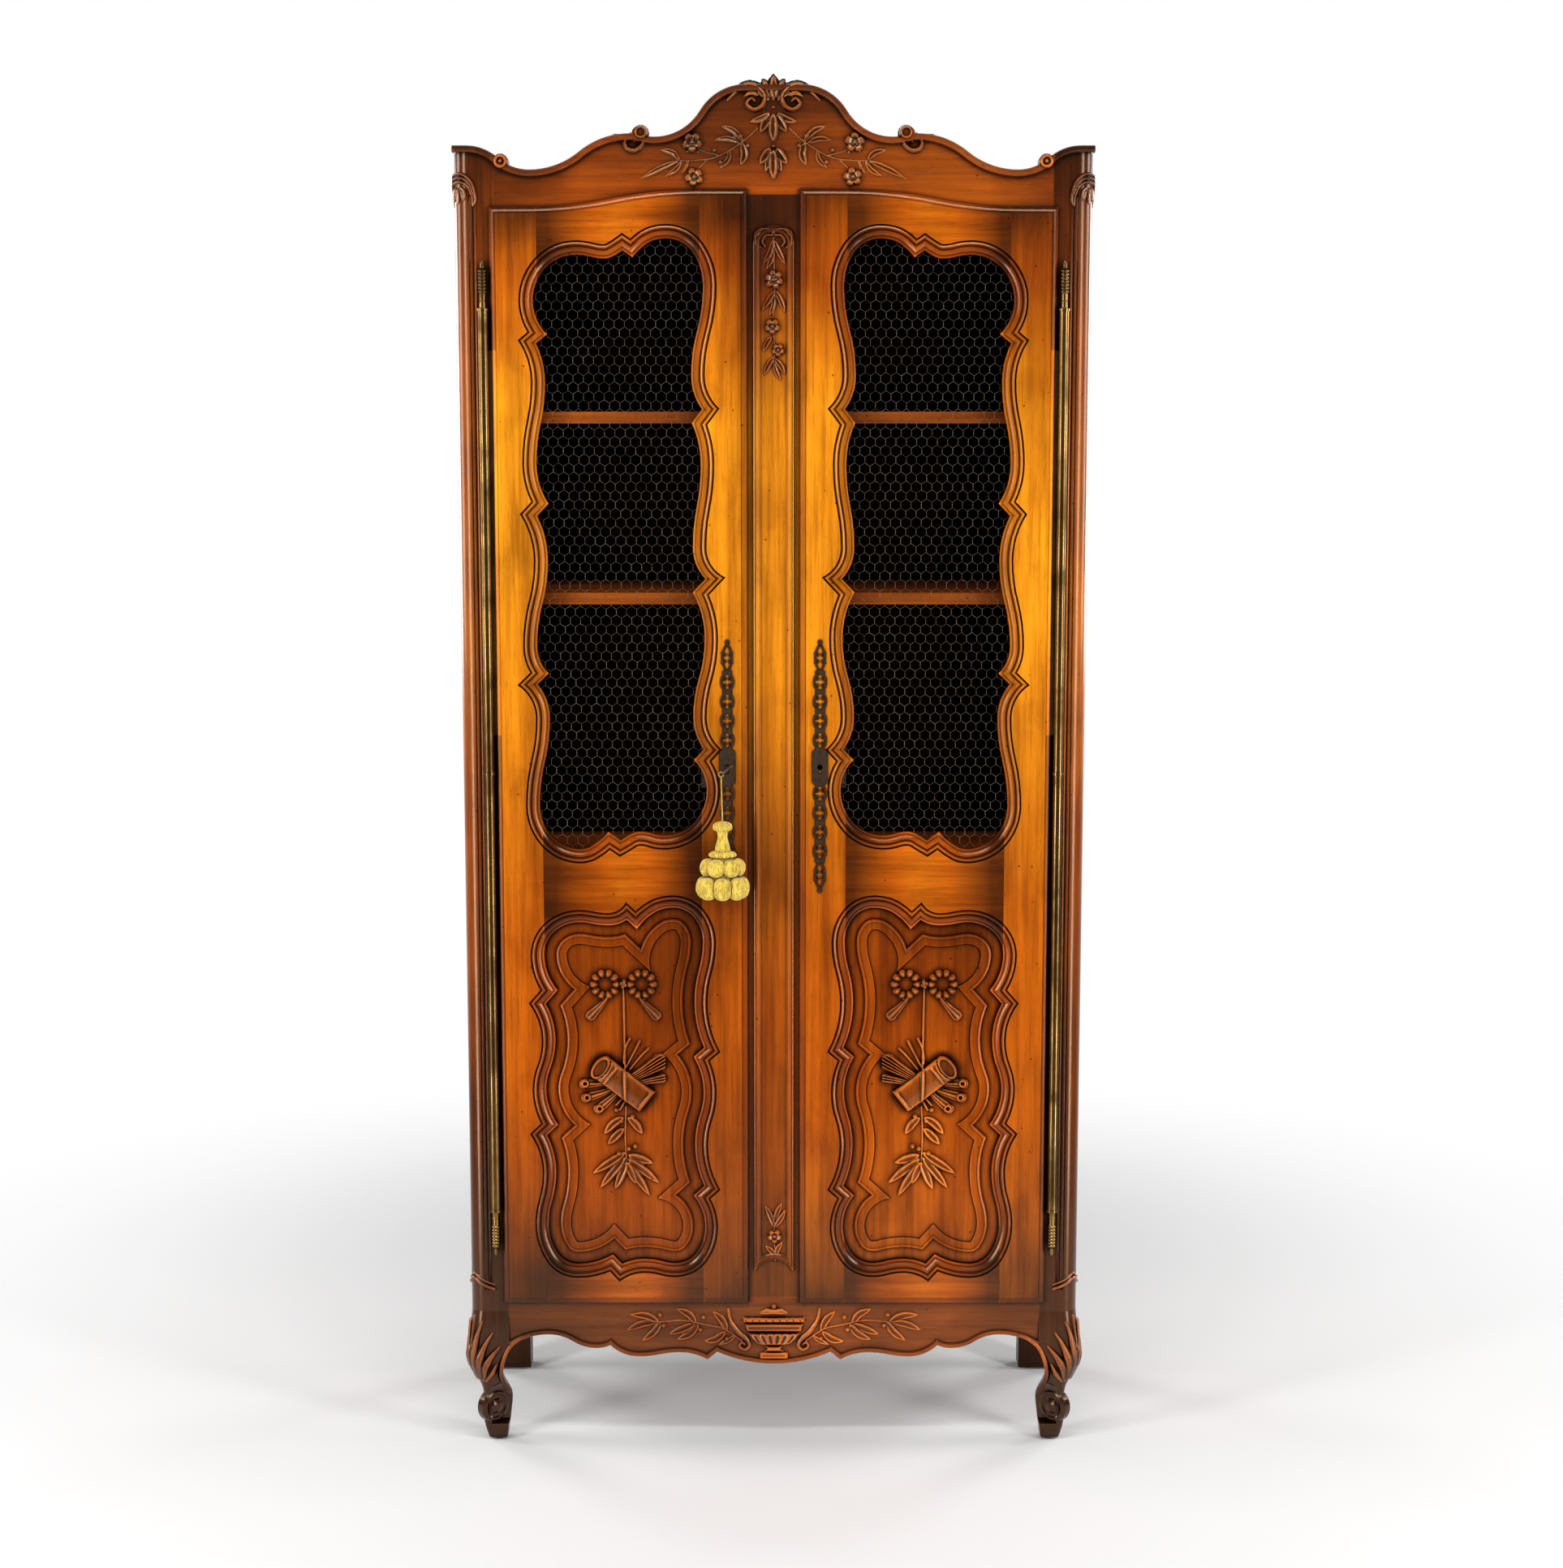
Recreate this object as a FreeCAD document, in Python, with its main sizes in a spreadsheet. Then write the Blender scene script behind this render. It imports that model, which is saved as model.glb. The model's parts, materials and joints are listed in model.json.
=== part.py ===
import FreeCAD, Part
import math
import os
import re
from FreeCAD import Vector

doc = FreeCAD.newDocument("bookcase_cabinet")
sheet = doc.addObject("Spreadsheet::Sheet", "Sizes")

# Every driving size in millimetres. The front faces of the posts are the zero plane for depth sizes.
SIZES = (
    ("overall_width", 980, "over the outer faces of the posts"),
    ("case_depth", 400, "front of the posts to the back of the rear posts"),
    ("key_reach", 50, "front of the posts to the front of the key"),
    ("post_width", 62, "front post, across and deep"),
    ("post_top", 2068, "top of the front posts at the outer corner"),
    ("corner_radius", 26, "rounded outer corner of the front posts"),
    ("corner_groove", 2.2, "radius of the grooves beside the rounded corner"),
    ("leg_height", 226, "floor to where the cabriole leg meets the post"),
    ("rear_post_depth", 45, "rear post, front to back"),
    ("rear_post_top", 2036, "top of the rear posts"),
    ("glide_height", 4, "metal glide under each foot"),
    ("glide_radius", 8, "metal glide under each foot"),
    ("scroll_radius", 27.5, "scroll of the front foot"),
    ("scroll_length", 20, "rim of the foot scroll along its axis"),
    ("scroll_height", 58, "axis of the foot scroll above the floor"),
    ("scroll_inset", 31, "outer faces of the post to the axis of the foot scroll"),
    ("scroll_proud", 2, "rim of the foot scroll beyond the leg behind it"),
    ("foot_block", 30, "top of the block under the foot scroll"),
    ("ankle_height", 104, "where the leg starts to narrow towards the scroll"),
    ("crest_valley", 2032, "lowest point of the crest outline"),
    ("crest_shoulder", 2086, "crest outline at the small scroll"),
    ("crest_notch", 2081, "crest outline just inside the small scroll"),
    ("crest_round", 2159, "top of the crest round beside the shell"),
    ("crest_tip", 2170, "top of the carved shell"),
    ("crest_bead", 11, "height of the bead along the crest"),
    ("crest_bead_proud", 9, "how far the crest bead stands out"),
    ("volute_radius", 11, "small scrolls on the crest"),
    ("rail_thick", 28, "crest rail and apron rail"),
    ("apron_end", 168, "lowest point of the apron beside the legs"),
    ("apron_bead", 8, "height of the bead along the apron"),
    ("apron_bead_proud", 4, "how far the apron bead stands out"),
    ("door_lip", 8, "overlap of the door lip on the case"),
    ("door_proud", 10, "thickness of the door lip in front of the case"),
    ("door_thick", 26, "whole thickness of a door"),
    ("door_gap", 2, "clearance round the part of the door inside the case"),
    ("door_bottom", 241, "lower edge of the door lip"),
    ("door_top_outer", 1976, "upper edge of the door lip at the hinge"),
    ("door_top_inner", 2003, "upper edge of the door lip at the centre post"),
    ("centre_gap", 80, "centre post seen between the doors"),
    ("stile_width", 73, "door stile to the rail shoulder"),
    ("moulding_width", 21, "moulding round the openings of the door"),
    ("mesh_left", 66, "door edge at the hinge to the mesh opening"),
    ("mesh_right", 65, "door edge at the lock to the mesh opening"),
    ("mesh_low", 982, "lowest point of the mesh opening"),
    ("mesh_high", 1929, "highest point of the mesh opening"),
    ("panel_left", 46.5, "door edge at the hinge to the panel moulding"),
    ("panel_right", 44.8, "door edge at the lock to the panel moulding"),
    ("panel_low", 279, "lowest point of the panel moulding"),
    ("panel_high", 910, "highest point of the panel moulding"),
    ("field_inset", 39, "panel moulding to the raised field"),
    ("ground_inset", 56, "panel moulding to the sunk ground of the field"),
    ("rebate_margin", 10, "rebate for the mesh past the opening"),
    ("rebate_floor", 4, "front of the mesh behind the zero plane"),
    ("tongue_margin", 10, "panel board inside the outline of its moulding"),
    ("tongue_front", 2, "front of the panel board behind the zero plane"),
    ("tongue_thick", 8, "panel board"),
    ("tenon_length", 45, "tenons of the door rails"),
    ("tenon_thick", 8, "tenons of the door rails"),
    ("frame_tenon", 35, "tenons of the crest rail, apron and centre post"),
    ("frame_tenon_thick", 10, "tenons of the crest rail, apron and centre post"),
    ("frame_shoulder", 12, "shoulders beside the tenons of the case"),
    ("wire_thick", 1.2, "wire of the mesh"),
    ("wire_cell", 36, "width of a mesh cell in this model"),
    ("retainer_width", 9, "strips that hold the mesh"),
    ("hinge_gap", 2, "hinge barrel to the post and to the door edge"),
    ("barrel_radius", 8, "hinge barrel"),
    ("pin_radius", 3, "hinge pin"),
    ("pin_fit", 0.05, "radial clearance of the hinge pin"),
    ("pin_reach", 60, "hinge pin above and below the collar"),
    ("barrel_top", 1819, "upper end of the door barrel"),
    ("barrel_joint", 1104, "middle of the hinge collar"),
    ("barrel_foot", 399, "lower end of the frame barrel"),
    ("collar_height", 5, "collar between the barrels"),
    ("collar_gap", 0.3, "clearance between the collar and the door barrel"),
    ("finial_height", 77, "turned end of a hinge barrel"),
    ("leaf_thick", 2, "hinge leaf"),
    ("leaf_depth", 20, "hinge leaf inside the wood"),
    ("lock_inset", 32.5, "door edge to the keyhole"),
    ("lock_height", 1114, "keyhole above the floor"),
    ("scutcheon_thick", 1.6, "keyhole plate"),
    ("scutcheon_width", 24, "keyhole plate"),
    ("scutcheon_height", 54, "keyhole plate"),
    ("scroll_link", 32.5, "one link of the pierced chain on the keyhole plate"),
    ("scroll_strip", 2.3, "strip that the chain is cut from"),
    ("case_lock_thick", 16, "lock case behind the stile"),
    ("bolt_throw", 13, "travel of a lock bolt"),
    ("bolt_height", 12, "lock bolt"),
    ("bolt_thick", 5, "lock bolt"),
    ("stem_radius", 2.5, "key stem"),
    ("bow_length", 28, "key ring across"),
    ("bow_depth", 22, "key ring along the stem"),
    ("bow_wire", 1.8, "radius of the key ring's wire"),
    ("key_tilt", 40, "slope of the key ring in degrees"),
    ("cord_radius", 1.3, "tassel cord"),
    ("cord_drop", 74, "tassel cord below the key ring"),
    ("tassel_height", 124, "tassel"),
    ("tassel_radius", 43, "tassel across its lowest balls"),
    ("centre_wall", 4.2, "wood behind the bolt sockets of the centre post"),
    ("centre_panel_width", 62, "raised panel of the centre post"),
    ("centre_panel_low", 294, "raised panel of the centre post"),
    ("centre_panel_high", 1948, "raised panel of the centre post"),
    ("centre_panel_proud", 7, "raised panel of the centre post"),
    ("board_thick", 18, "shelves and boards"),
    ("top_board_low", 2004, "underside of the top board"),
    ("shelf_upper_top", 1666, "upper shelf"),
    ("shelf_middle_top", 1384, "middle shelf"),
    ("shelf_lower_top", 952, "lower shelf"),
    ("shelf_gap", 2, "centre post to the front edge of the shelves"),
    ("cleat_size", 16, "shelf cleats"),
    ("side_inset", 6, "side rails behind the outer face of the posts"),
    ("side_rail_thick", 25, "side rails"),
    ("side_top_low", 1925, "lower edge of the side top rail"),
    ("side_middle_low", 900, "lower edge of the side middle rail"),
    ("side_middle_high", 990, "upper edge of the side middle rail"),
    ("side_bottom_high", 262, "upper edge of the side bottom rail"),
    ("side_arch", 200, "crown of the arch under the side"),
    ("side_arch_foot", 174, "ends of the arch under the side"),
    ("groove_depth", 9, "grooves for the side and back panels"),
    ("side_panel_thick", 9, "side and back panels"),
    ("back_rail_height", 90, "rails of the back"),
)
for row, (alias, number, note) in enumerate(SIZES, start=1):
    sheet.set("A%d" % row, alias)
    sheet.set("B%d" % row, str(number))
    sheet.set("C%d" % row, note)
    sheet.setAlias("B%d" % row, alias)
doc.recompute()

ALIASES = re.compile(r"\b(%s)\b" % "|".join(alias for alias, number, note in SIZES))
FRONT = "(key_reach - case_depth) / 2"
parts = []


def size(alias):
    return float(sheet.get(alias))


def bind(item, **formulas):
    """Ties properties of an object to formulas over the sheet's names."""
    for name, formula in formulas.items():
        item.setExpression(name.replace("_", "."), ALIASES.sub(r"Sizes.\1", formula))


def place(item, x="0", y="0", z="0"):
    """Puts an object at formulas, with y measured back from the front faces of the posts."""
    bind(item, Placement_Base_x=x, Placement_Base_y="%s + (%s)" % (FRONT, y), Placement_Base_z=z)
    return item


def box(x, y, z, length, width, height):
    item = doc.addObject("Part::Box", "Box")
    bind(item, Length=length, Width=width, Height=height)
    return place(item, x, y, z)


def cylinder(x, y, z, radius, height, direction=Vector(0, 0, 1)):
    item = doc.addObject("Part::Cylinder", "Cylinder")
    item.Placement.Rotation = FreeCAD.Rotation(Vector(0, 0, 1), direction)
    bind(item, Radius=radius, Height=height)
    return place(item, x, y, z)


def shaped(shape):
    """An object for a shape worked out from the sheet, drawn with the zero plane at y = 0."""
    item = doc.addObject("Part::Feature", "Shape")
    item.Shape = shape
    return place(item)


def cut(base, *tools):
    for tool in tools:
        item = doc.addObject("Part::Cut", "Cut")
        item.Base = base
        item.Tool = tool
        base = item
    return base


def fuse(*pieces):
    item = doc.addObject("Part::MultiFuse", "Fusion")
    item.Shapes = list(pieces)
    return item


def common(base, tool):
    item = doc.addObject("Part::Common", "Common")
    item.Base = base
    item.Tool = tool
    return item


def group(*pieces):
    item = doc.addObject("Part::Compound", "Compound")
    item.Links = list(pieces)
    return item


def mirror(source):
    item = doc.addObject("Part::Mirroring", "Mirror")
    item.Source = source
    item.Normal = Vector(1, 0, 0)
    return item


def node(label, item):
    item.Label = label
    parts.append(item)
    return item


def pair(label, item):
    """One piece on the left and its mirror image on the right."""
    node(label + "_left", item)
    node(label + "_right", mirror(item))
    return item


# Outlines are drawn in x and z from a few points. A point where the line turns sharply is marked C.
# At the other points the line runs E, S, W or N, or at an angle up from E, and arcs join it smoothly.
HEADINGS = {"E": 0, "N": 90, "W": 180, "S": 270}


def heading(mark):
    turn = math.radians(HEADINGS.get(mark, mark))
    return (math.cos(turn), math.sin(turn))


def arc_to(start, way, end):
    """The arc that leaves start one way and reaches end, as start, end, centre and turn."""
    dx, dz = end[0] - start[0], end[1] - start[1]
    across = -way[1] * dx + way[0] * dz
    if abs(across) < 1e-6:
        return (start, end, None, 0)
    reach = (dx * dx + dz * dz) / (2 * across)
    centre = (start[0] - way[1] * reach, start[1] + way[0] * reach)
    return (start, end, centre, 1 if across > 0 else -1)


def arc_from(start, end, way):
    """The arc from start that reaches end one way."""
    end, start, centre, turn = arc_to(end, (-way[0], -way[1]), start)
    return (start, end, centre, -turn)


def double_arc(start, first, end, last):
    """Two arcs that leave start along first and reach end along last."""
    dx, dz = end[0] - start[0], end[1] - start[1]
    along = dx * (first[0] + last[0]) + dz * (first[1] + last[1])
    spread = 2 * (1 - first[0] * last[0] - first[1] * last[1])
    square = dx * dx + dz * dz
    if spread < 1e-9:
        reach = square / (2 * along)
    else:
        reach = (math.sqrt(along * along + spread * square) - along) / spread
    middle = ((start[0] + end[0] + reach * (first[0] - last[0])) / 2,
              (start[1] + end[1] + reach * (first[1] - last[1])) / 2)
    return [arc_to(start, first, middle), arc_from(middle, end, last)]


def outline(points, closed=True):
    spans = []
    following = points[1:] + points[:1] if closed else points[1:]
    for (ax, az, a_mark), (bx, bz, b_mark) in zip(points, following):
        a, b = (ax, az), (bx, bz)
        if a_mark == "C" and b_mark == "C":
            spans.append((a, b, None, 0))
        elif b_mark == "C":
            spans.append(arc_to(a, heading(a_mark), b))
        elif a_mark == "C":
            spans.append(arc_from(a, b, heading(b_mark)))
        else:
            spans.extend(double_arc(a, heading(a_mark), b, heading(b_mark)))
    return spans


def shifted(span, distance):
    """The span moved to the left of its direction."""
    (ax, az), (bx, bz), centre, turn = span
    if centre is None:
        length = math.hypot(bx - ax, bz - az)
        sx, sz = -(bz - az) / length * distance, (bx - ax) / length * distance
        return ((ax + sx, az + sz), (bx + sx, bz + sz), None, 0)
    radius = math.hypot(ax - centre[0], az - centre[1])
    scale = (radius - turn * distance) / radius
    ends = [(centre[0] + (px - centre[0]) * scale, centre[1] + (pz - centre[1]) * scale)
            for px, pz in ((ax, az), (bx, bz))]
    return (ends[0], ends[1], centre, turn)


def curve_of(span):
    (ax, az), (bx, bz), centre, turn = span
    if centre is None:
        return Part.Line(Vector(ax, 0, az), Vector(bx, 0, bz))
    return Part.Circle(Vector(centre[0], 0, centre[1]), Vector(0, 1, 0),
                       math.hypot(ax - centre[0], az - centre[1]))


def offset(spans, distance, closed=True):
    """The outline moved to the left, with sharp corners carried out to a mitre."""
    moved = [shifted(span, distance) for span in spans]
    count = len(moved)
    for index in range(count if closed else count - 1):
        one, two = moved[index], moved[(index + 1) % count]
        (ax, az), (bx, bz) = one[1], two[0]
        if math.hypot(ax - bx, az - bz) < 1e-4:
            continue
        guess = Vector((ax + bx) / 2, 0, (az + bz) / 2)
        found = curve_of(one).intersect(curve_of(two))
        near = min((Vector(p.X, 0, p.Z) for p in found), key=lambda p: p.distanceToPoint(guess))
        corner = (near.x, near.z)
        moved[index] = (one[0], corner, one[2], one[3])
        moved[(index + 1) % count] = (corner, two[1], two[2], two[3])
    return moved


def edges_of(spans, y):
    edges = []
    for (ax, az), (bx, bz), centre, turn in spans:
        start, end = Vector(ax, y, az), Vector(bx, y, bz)
        if centre is None:
            edges.append(Part.makeLine(start, end))
            continue
        middle = Vector(centre[0], y, centre[1])
        radius = start.distanceToPoint(middle)
        toward = (start - middle) + (end - middle)
        edges.append(Part.Arc(start, middle + toward.normalize() * radius, end).toShape())
    return edges


def stack(spans, levels):
    """A solid through closed outlines, each level given as offset and depth."""
    wires = [Part.Wire(edges_of(offset(spans, distance), y)) for distance, y in levels]
    return Part.makeLoft(wires, True, True)


def backward(spans):
    return [(end, start, centre, -turn) for start, end, centre, turn in reversed(spans)]


def band(spans, levels):
    """A strip along an open outline, each level given as its two offsets and its depth."""
    wires = []
    for low, high, y in levels:
        near = offset(spans, low, False)
        far = backward(offset(spans, high, False))
        ends = [(near[-1][1], far[0][0], None, 0)], [(far[-1][1], near[0][0], None, 0)]
        wires.append(Part.Wire(edges_of(near + ends[0] + far + ends[1], y)))
    return Part.makeLoft(wires, True, True)


def plate(spans, y, thick):
    face = Part.Face(Part.Wire(edges_of(spans, y)))
    return face.extrude(Vector(0, thick, 0))


EDGE = 0.1


def stretched(part, drawn, length):
    """A fraction of a drawn length, on a length where only the middle stretches and the ends keep their size."""
    middle = min(max((part - EDGE) / (1 - 2 * EDGE), 0), 1)
    return part * drawn + middle * (length - drawn)


def within(points, drawn, left, low, right, high):
    """Outline points drawn as fractions of a width and a height, fitted between four edges."""
    wide, tall = drawn
    wider = 1 + (right - left - wide) / (wide * (1 - 2 * EDGE))
    fitted = []
    for x, z, mark in points:
        if mark not in ("C", *HEADINGS):
            way = heading(mark)
            mark = math.degrees(math.atan2(way[1], way[0] * wider))
        fitted.append((left + stretched(x, wide, right - left), low + stretched(z, tall, high - low), mark))
    return fitted


HALF = size("overall_width") / 2
INNER = HALF - size("post_width")
CENTRE = size("centre_gap") / 2
LIP = size("door_lip")
hinge_inset = "(post_width - door_lip - barrel_radius - hinge_gap)"
hinge_proud = "(barrel_radius + hinge_gap)"
hinge_x = "-overall_width / 2 + " + hinge_inset

# Side panels, held in grooves on all four sides, which also cut the grooves of the pieces round them.
rear_y = "case_depth - rear_post_depth"
side_x = "-overall_width / 2 + side_inset"
side_y = "post_width"
side_run = "case_depth - rear_post_depth - post_width"
panel_x = side_x + " + (side_rail_thick - side_panel_thick) / 2"


def side_panel(low, high):
    """A panel held in grooves on all four sides."""
    return box(panel_x, side_y + " - groove_depth", low + " - groove_depth", "side_panel_thick",
               side_run + " + 2 * groove_depth", high + " - (" + low + ") + 2 * groove_depth")


upper_panel = side_panel("side_middle_high", "side_top_low")
lower_panel = side_panel("side_bottom_high", "side_middle_low")

# Front posts, each in one piece with its cabriole leg and scroll foot.
CREST = [(-HALF, size("post_top"), "C"), (-HALF + 22, size("post_top"), "E"),
         (-HALF + 117, size("crest_valley"), "E"), (-0.449 * HALF, size("crest_shoulder"), "E"),
         (-0.371 * HALF, size("crest_notch"), "E"), (-0.086 * HALF, size("crest_round"), "E")]
SHELL = [(-0.034 * HALF, size("crest_round") + 1, "E"), (0, size("crest_tip"), "E")]


def both_sides(points):
    """Left half of an outline and its mirror image, with a last point on the middle line kept single."""
    return points + [(-x, z, mark) for x, z, mark in reversed(points) if x < 0]


bead_line = outline(both_sides(CREST), False)
crest_line = outline(both_sides(CREST + SHELL), False)
crest_low = size("leg_height") - 10
crest_body = crest_line + [((HALF, size("post_top")), (HALF, crest_low), None, 0),
                           ((HALF, crest_low), (-HALF, crest_low), None, 0),
                           ((-HALF, crest_low), (-HALF, size("post_top")), None, 0)]

# Sections of the leg: height, inset from the outer faces, width, and radius of the outer and other corners.
LEG = ((226, 0, 62, 26, 0.6), (200, -2, 64, 25, 0.6), (172, -3.2, 65.2, 22, 1), (159, -3.2, 59.2, 20, 3),
       (146, -3, 53, 18, 6), (135, -1, 48.5, 16, 8), (121, 4, 42, 14, 9), (108, 8.5, 39, 12, 8),
       (95, 13.5, 38.5, 11, 7), (83, 16, 41, 10, 6), (66, 17, 44, 10, 5), (34, 17, 41, 8, 4), (8, 23, 32, 6, 4),
       (4, 25, 28, 5, 4))


def rounded_square(inset, across, z, outer, other):
    """A square section of the leg, inset from the outer faces of the post."""
    low, high = inset, inset + across
    corners = [(low, low), (high, low), (high, high), (low, high)]
    edges = []
    for index, (x, y) in enumerate(corners):
        radius = other if index else outer
        next_radius = other if index < 3 else outer
        nx, ny = corners[(index + 1) % 4]
        px, py = corners[index - 1]
        out = Vector(nx - x, ny - y, 0).normalize() * radius
        back = Vector(px - x, py - y, 0).normalize() * radius
        at = Vector(-HALF + x, y, z)
        bend = at + (out + back) * (1 - math.sqrt(0.5))
        start = at + out
        edges.append(Part.Arc(at + back, bend, start).toShape())
        step = Vector(nx - x, ny - y, 0) - out.normalize() * next_radius
        edges.append(Part.makeLine(start, at + step))
    return Part.Wire(edges)


def eased(points, steps):
    """Points through the given ones, with a smooth run between each two."""
    run = []
    for index in range(len(points) - 1):
        near = [points[min(max(index + shift, 0), len(points) - 1)] for shift in (-1, 0, 1, 2)]
        for step in range(steps):
            t = step / steps
            weights = (-t + 2 * t ** 2 - t ** 3, 2 - 5 * t ** 2 + 3 * t ** 3,
                       t + 4 * t ** 2 - 3 * t ** 3, -t ** 2 + t ** 3)
            run.append(tuple(sum(w * p[axis] for w, p in zip(weights, near)) / 2
                             for axis in range(len(points[0]))))
    return run + [points[-1]]


leg_tall, leg_wide = size("leg_height") / LEG[0][0], size("post_width") / LEG[0][2]
leg_wires = [rounded_square(inset * leg_wide, across * leg_wide, z * leg_tall, outer * leg_wide, other * leg_wide)
             for z, inset, across, outer, other in eased(LEG, 3)]
leg_zone = box("-overall_width / 2 - 10", "-10", "0", "post_width + 10", "post_width + 10", "leg_height")
leg = common(shaped(Part.makeLoft(leg_wires, True, True)), leg_zone)

post_blank = box("-overall_width / 2", "0", "leg_height", "post_width", "post_width",
                 "crest_tip - leg_height")
corner_block = box("-overall_width / 2 - 1", "-1", "leg_height - 1", "corner_radius + 1",
                   "corner_radius + 1", "crest_tip")
corner_round = cylinder("-overall_width / 2 + corner_radius", "corner_radius", "leg_height - 2",
                        "corner_radius", "crest_tip + 4")
post_round = cut(post_blank, cut(corner_block, corner_round))
grooves = []
for along in ("corner_radius - 1", "corner_radius + 5"):
    for x, y in ((along, "-0.6"), ("-0.6", along)):
        grooves.append(cylinder("-overall_width / 2 + " + x, y, "leg_height + 36", "corner_groove",
                                "post_top - leg_height - 110"))
crest_plate = shaped(plate(crest_body, -20, size("post_width") + 40))
post_shaped = common(cut(post_round, group(*grooves)), crest_plate)
crest_bead_levels = [(0, -size("crest_bead"), 12), (0, -size("crest_bead"), -3),
                     (-1.6, -size("crest_bead") + 1.2, -0.75 * size("crest_bead_proud")),
                     (-4, -size("crest_bead") + 4, -size("crest_bead_proud"))]
crest_bead = shaped(band(bead_line, crest_bead_levels))
post_crown = common(crest_bead, box("-overall_width / 2", "-20", "0", "post_width", "60", "3000"))

# Foot scroll across the diagonal of the leg, with a rim and a button on each end.
scroll_middle = Vector(-HALF + size("scroll_inset"), size("scroll_inset"), size("scroll_height"))
scroll_axis = Vector(1, -1, 0).normalize()
diagonal = Vector(1, 1, 0).normalize()
# One end of the scroll: radii in scroll radii, and distances from its middle in half lengths.
SCROLL_END = ((0, 1.3), (0.2, 1.27), (0.36, 1.12), (0.45, 0.88), (0.47, 0.5), (0.6, 0.45), (0.65, 0.8), (0.73, 0.97),
              (0.83, 1), (0.93, 0.87), (1, 0.55))


def foot_scroll():
    """The scroll, turned round its axis."""
    radius, half = size("scroll_radius"), size("scroll_length") / 2
    one_end = [(across * radius, along * half) for across, along in SCROLL_END]
    points = [scroll_middle + Vector(0, 0, across) + scroll_axis * along
              for across, along in one_end + [(across, -along) for across, along in reversed(one_end)]]
    return Part.Face(Part.makePolygon(points + points[:1])).revolve(scroll_middle, scroll_axis, 360)


def foot_cheek(side):
    """What is cut from the leg beside the scroll, under a hollow that runs out in the ankle."""
    near = size("scroll_length") / 2 - size("scroll_proud")
    far, block, ankle = near + 60, size("foot_block"), size("ankle_height")
    waist = size("scroll_height") + 0.9 * size("scroll_radius")
    corners = [Vector(scroll_middle.x, scroll_middle.y, z) + scroll_axis * (side * along) - diagonal * 80
               for along, z in ((near, block), (near, waist), (near + 4, 0.5 * (waist + ankle)), (near + 26, ankle),
                                (far, ankle), (far, block))]
    hollow = Part.Arc(corners[1], corners[2], corners[3]).toShape()
    straight = [Part.makeLine(corners[a], corners[b]) for a, b in ((3, 4), (4, 5), (5, 0), (0, 1))]
    return Part.Face(Part.Wire([hollow] + straight)).extrude(diagonal * 160)


scroll = shaped(foot_scroll())
foot = fuse(cut(leg, shaped(foot_cheek(1)), shaped(foot_cheek(-1))), scroll)
leaf_slot = box(hinge_x + " - leaf_thick / 2", "-1", "barrel_foot + 60",
                "leaf_thick", "leaf_depth + 1", "barrel_joint - barrel_foot - 120")
tenon_y = "(rail_thick - frame_tenon_thick) / 2"
rail_end = "-overall_width / 2 + post_width - frame_tenon"
crest_tenon_low = "door_top_outer - door_lip + frame_shoulder"
crest_tenon = box(rail_end, tenon_y, crest_tenon_low, "frame_tenon + 10", "frame_tenon_thick",
                  "crest_valley - frame_shoulder - (" + crest_tenon_low + ")")
apron_tenon = box(rail_end, tenon_y, "apron_end + frame_shoulder", "frame_tenon + 10", "frame_tenon_thick",
                  "door_bottom + door_lip - apron_end - 2 * frame_shoulder")
pair("front_post", cut(fuse(post_shaped, foot, post_crown), leaf_slot, upper_panel, lower_panel,
                       crest_tenon, apron_tenon))

# Crest rail with its bead, small scrolls and arched lower edge.
door_top = [(-INNER, size("door_top_outer") - LIP, "C"),
            (-INNER + 48, size("door_top_outer") - LIP + 0.5, "E"),
            (-CENTRE - 70, size("door_top_inner") - LIP, "E"), (-CENTRE - LIP, size("door_top_inner") - LIP, "C")]
below = outline(both_sides(door_top), False)
below_shape = below + [((INNER, below[-1][1][1]), (INNER, crest_low - 50), None, 0),
                       ((INNER, crest_low - 50), (-INNER, crest_low - 50), None, 0),
                       ((-INNER, crest_low - 50), (-INNER, below[0][0][1]), None, 0)]
crest_zone = box("-overall_width / 2 + post_width", "-20", "0", "overall_width - 2 * post_width",
                 "20 + rail_thick", "3000")
crest_rail = cut(common(crest_plate, box("-overall_width / 2 + post_width", "0", "0",
                                         "overall_width - 2 * post_width", "rail_thick", "3000")),
                 shaped(plate(below_shape, -30, 120)))
volutes = []
for across, height in (("0.849 * overall_width / 2", "crest_valley + 12"),
                       ("0.418 * overall_width / 2", "crest_shoulder - 1")):
    for side in ("-", ""):
        volutes.append(cylinder(side + across, "-crest_bead_proud", height, "volute_radius",
                                "rail_thick + crest_bead_proud - 4", Vector(0, 1, 0)))
centre_tenon = box("-centre_gap / 2 + frame_shoulder", tenon_y, "door_bottom + door_lip - frame_tenon",
                   "centre_gap - 2 * frame_shoulder", "frame_tenon_thick",
                   "door_top_inner - door_bottom - 2 * door_lip + 2 * frame_tenon")
crest_whole = fuse(crest_rail, common(crest_bead, crest_zone), crest_tenon, mirror(crest_tenon), *volutes)
node("crest_rail", cut(crest_whole, centre_tenon))

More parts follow.
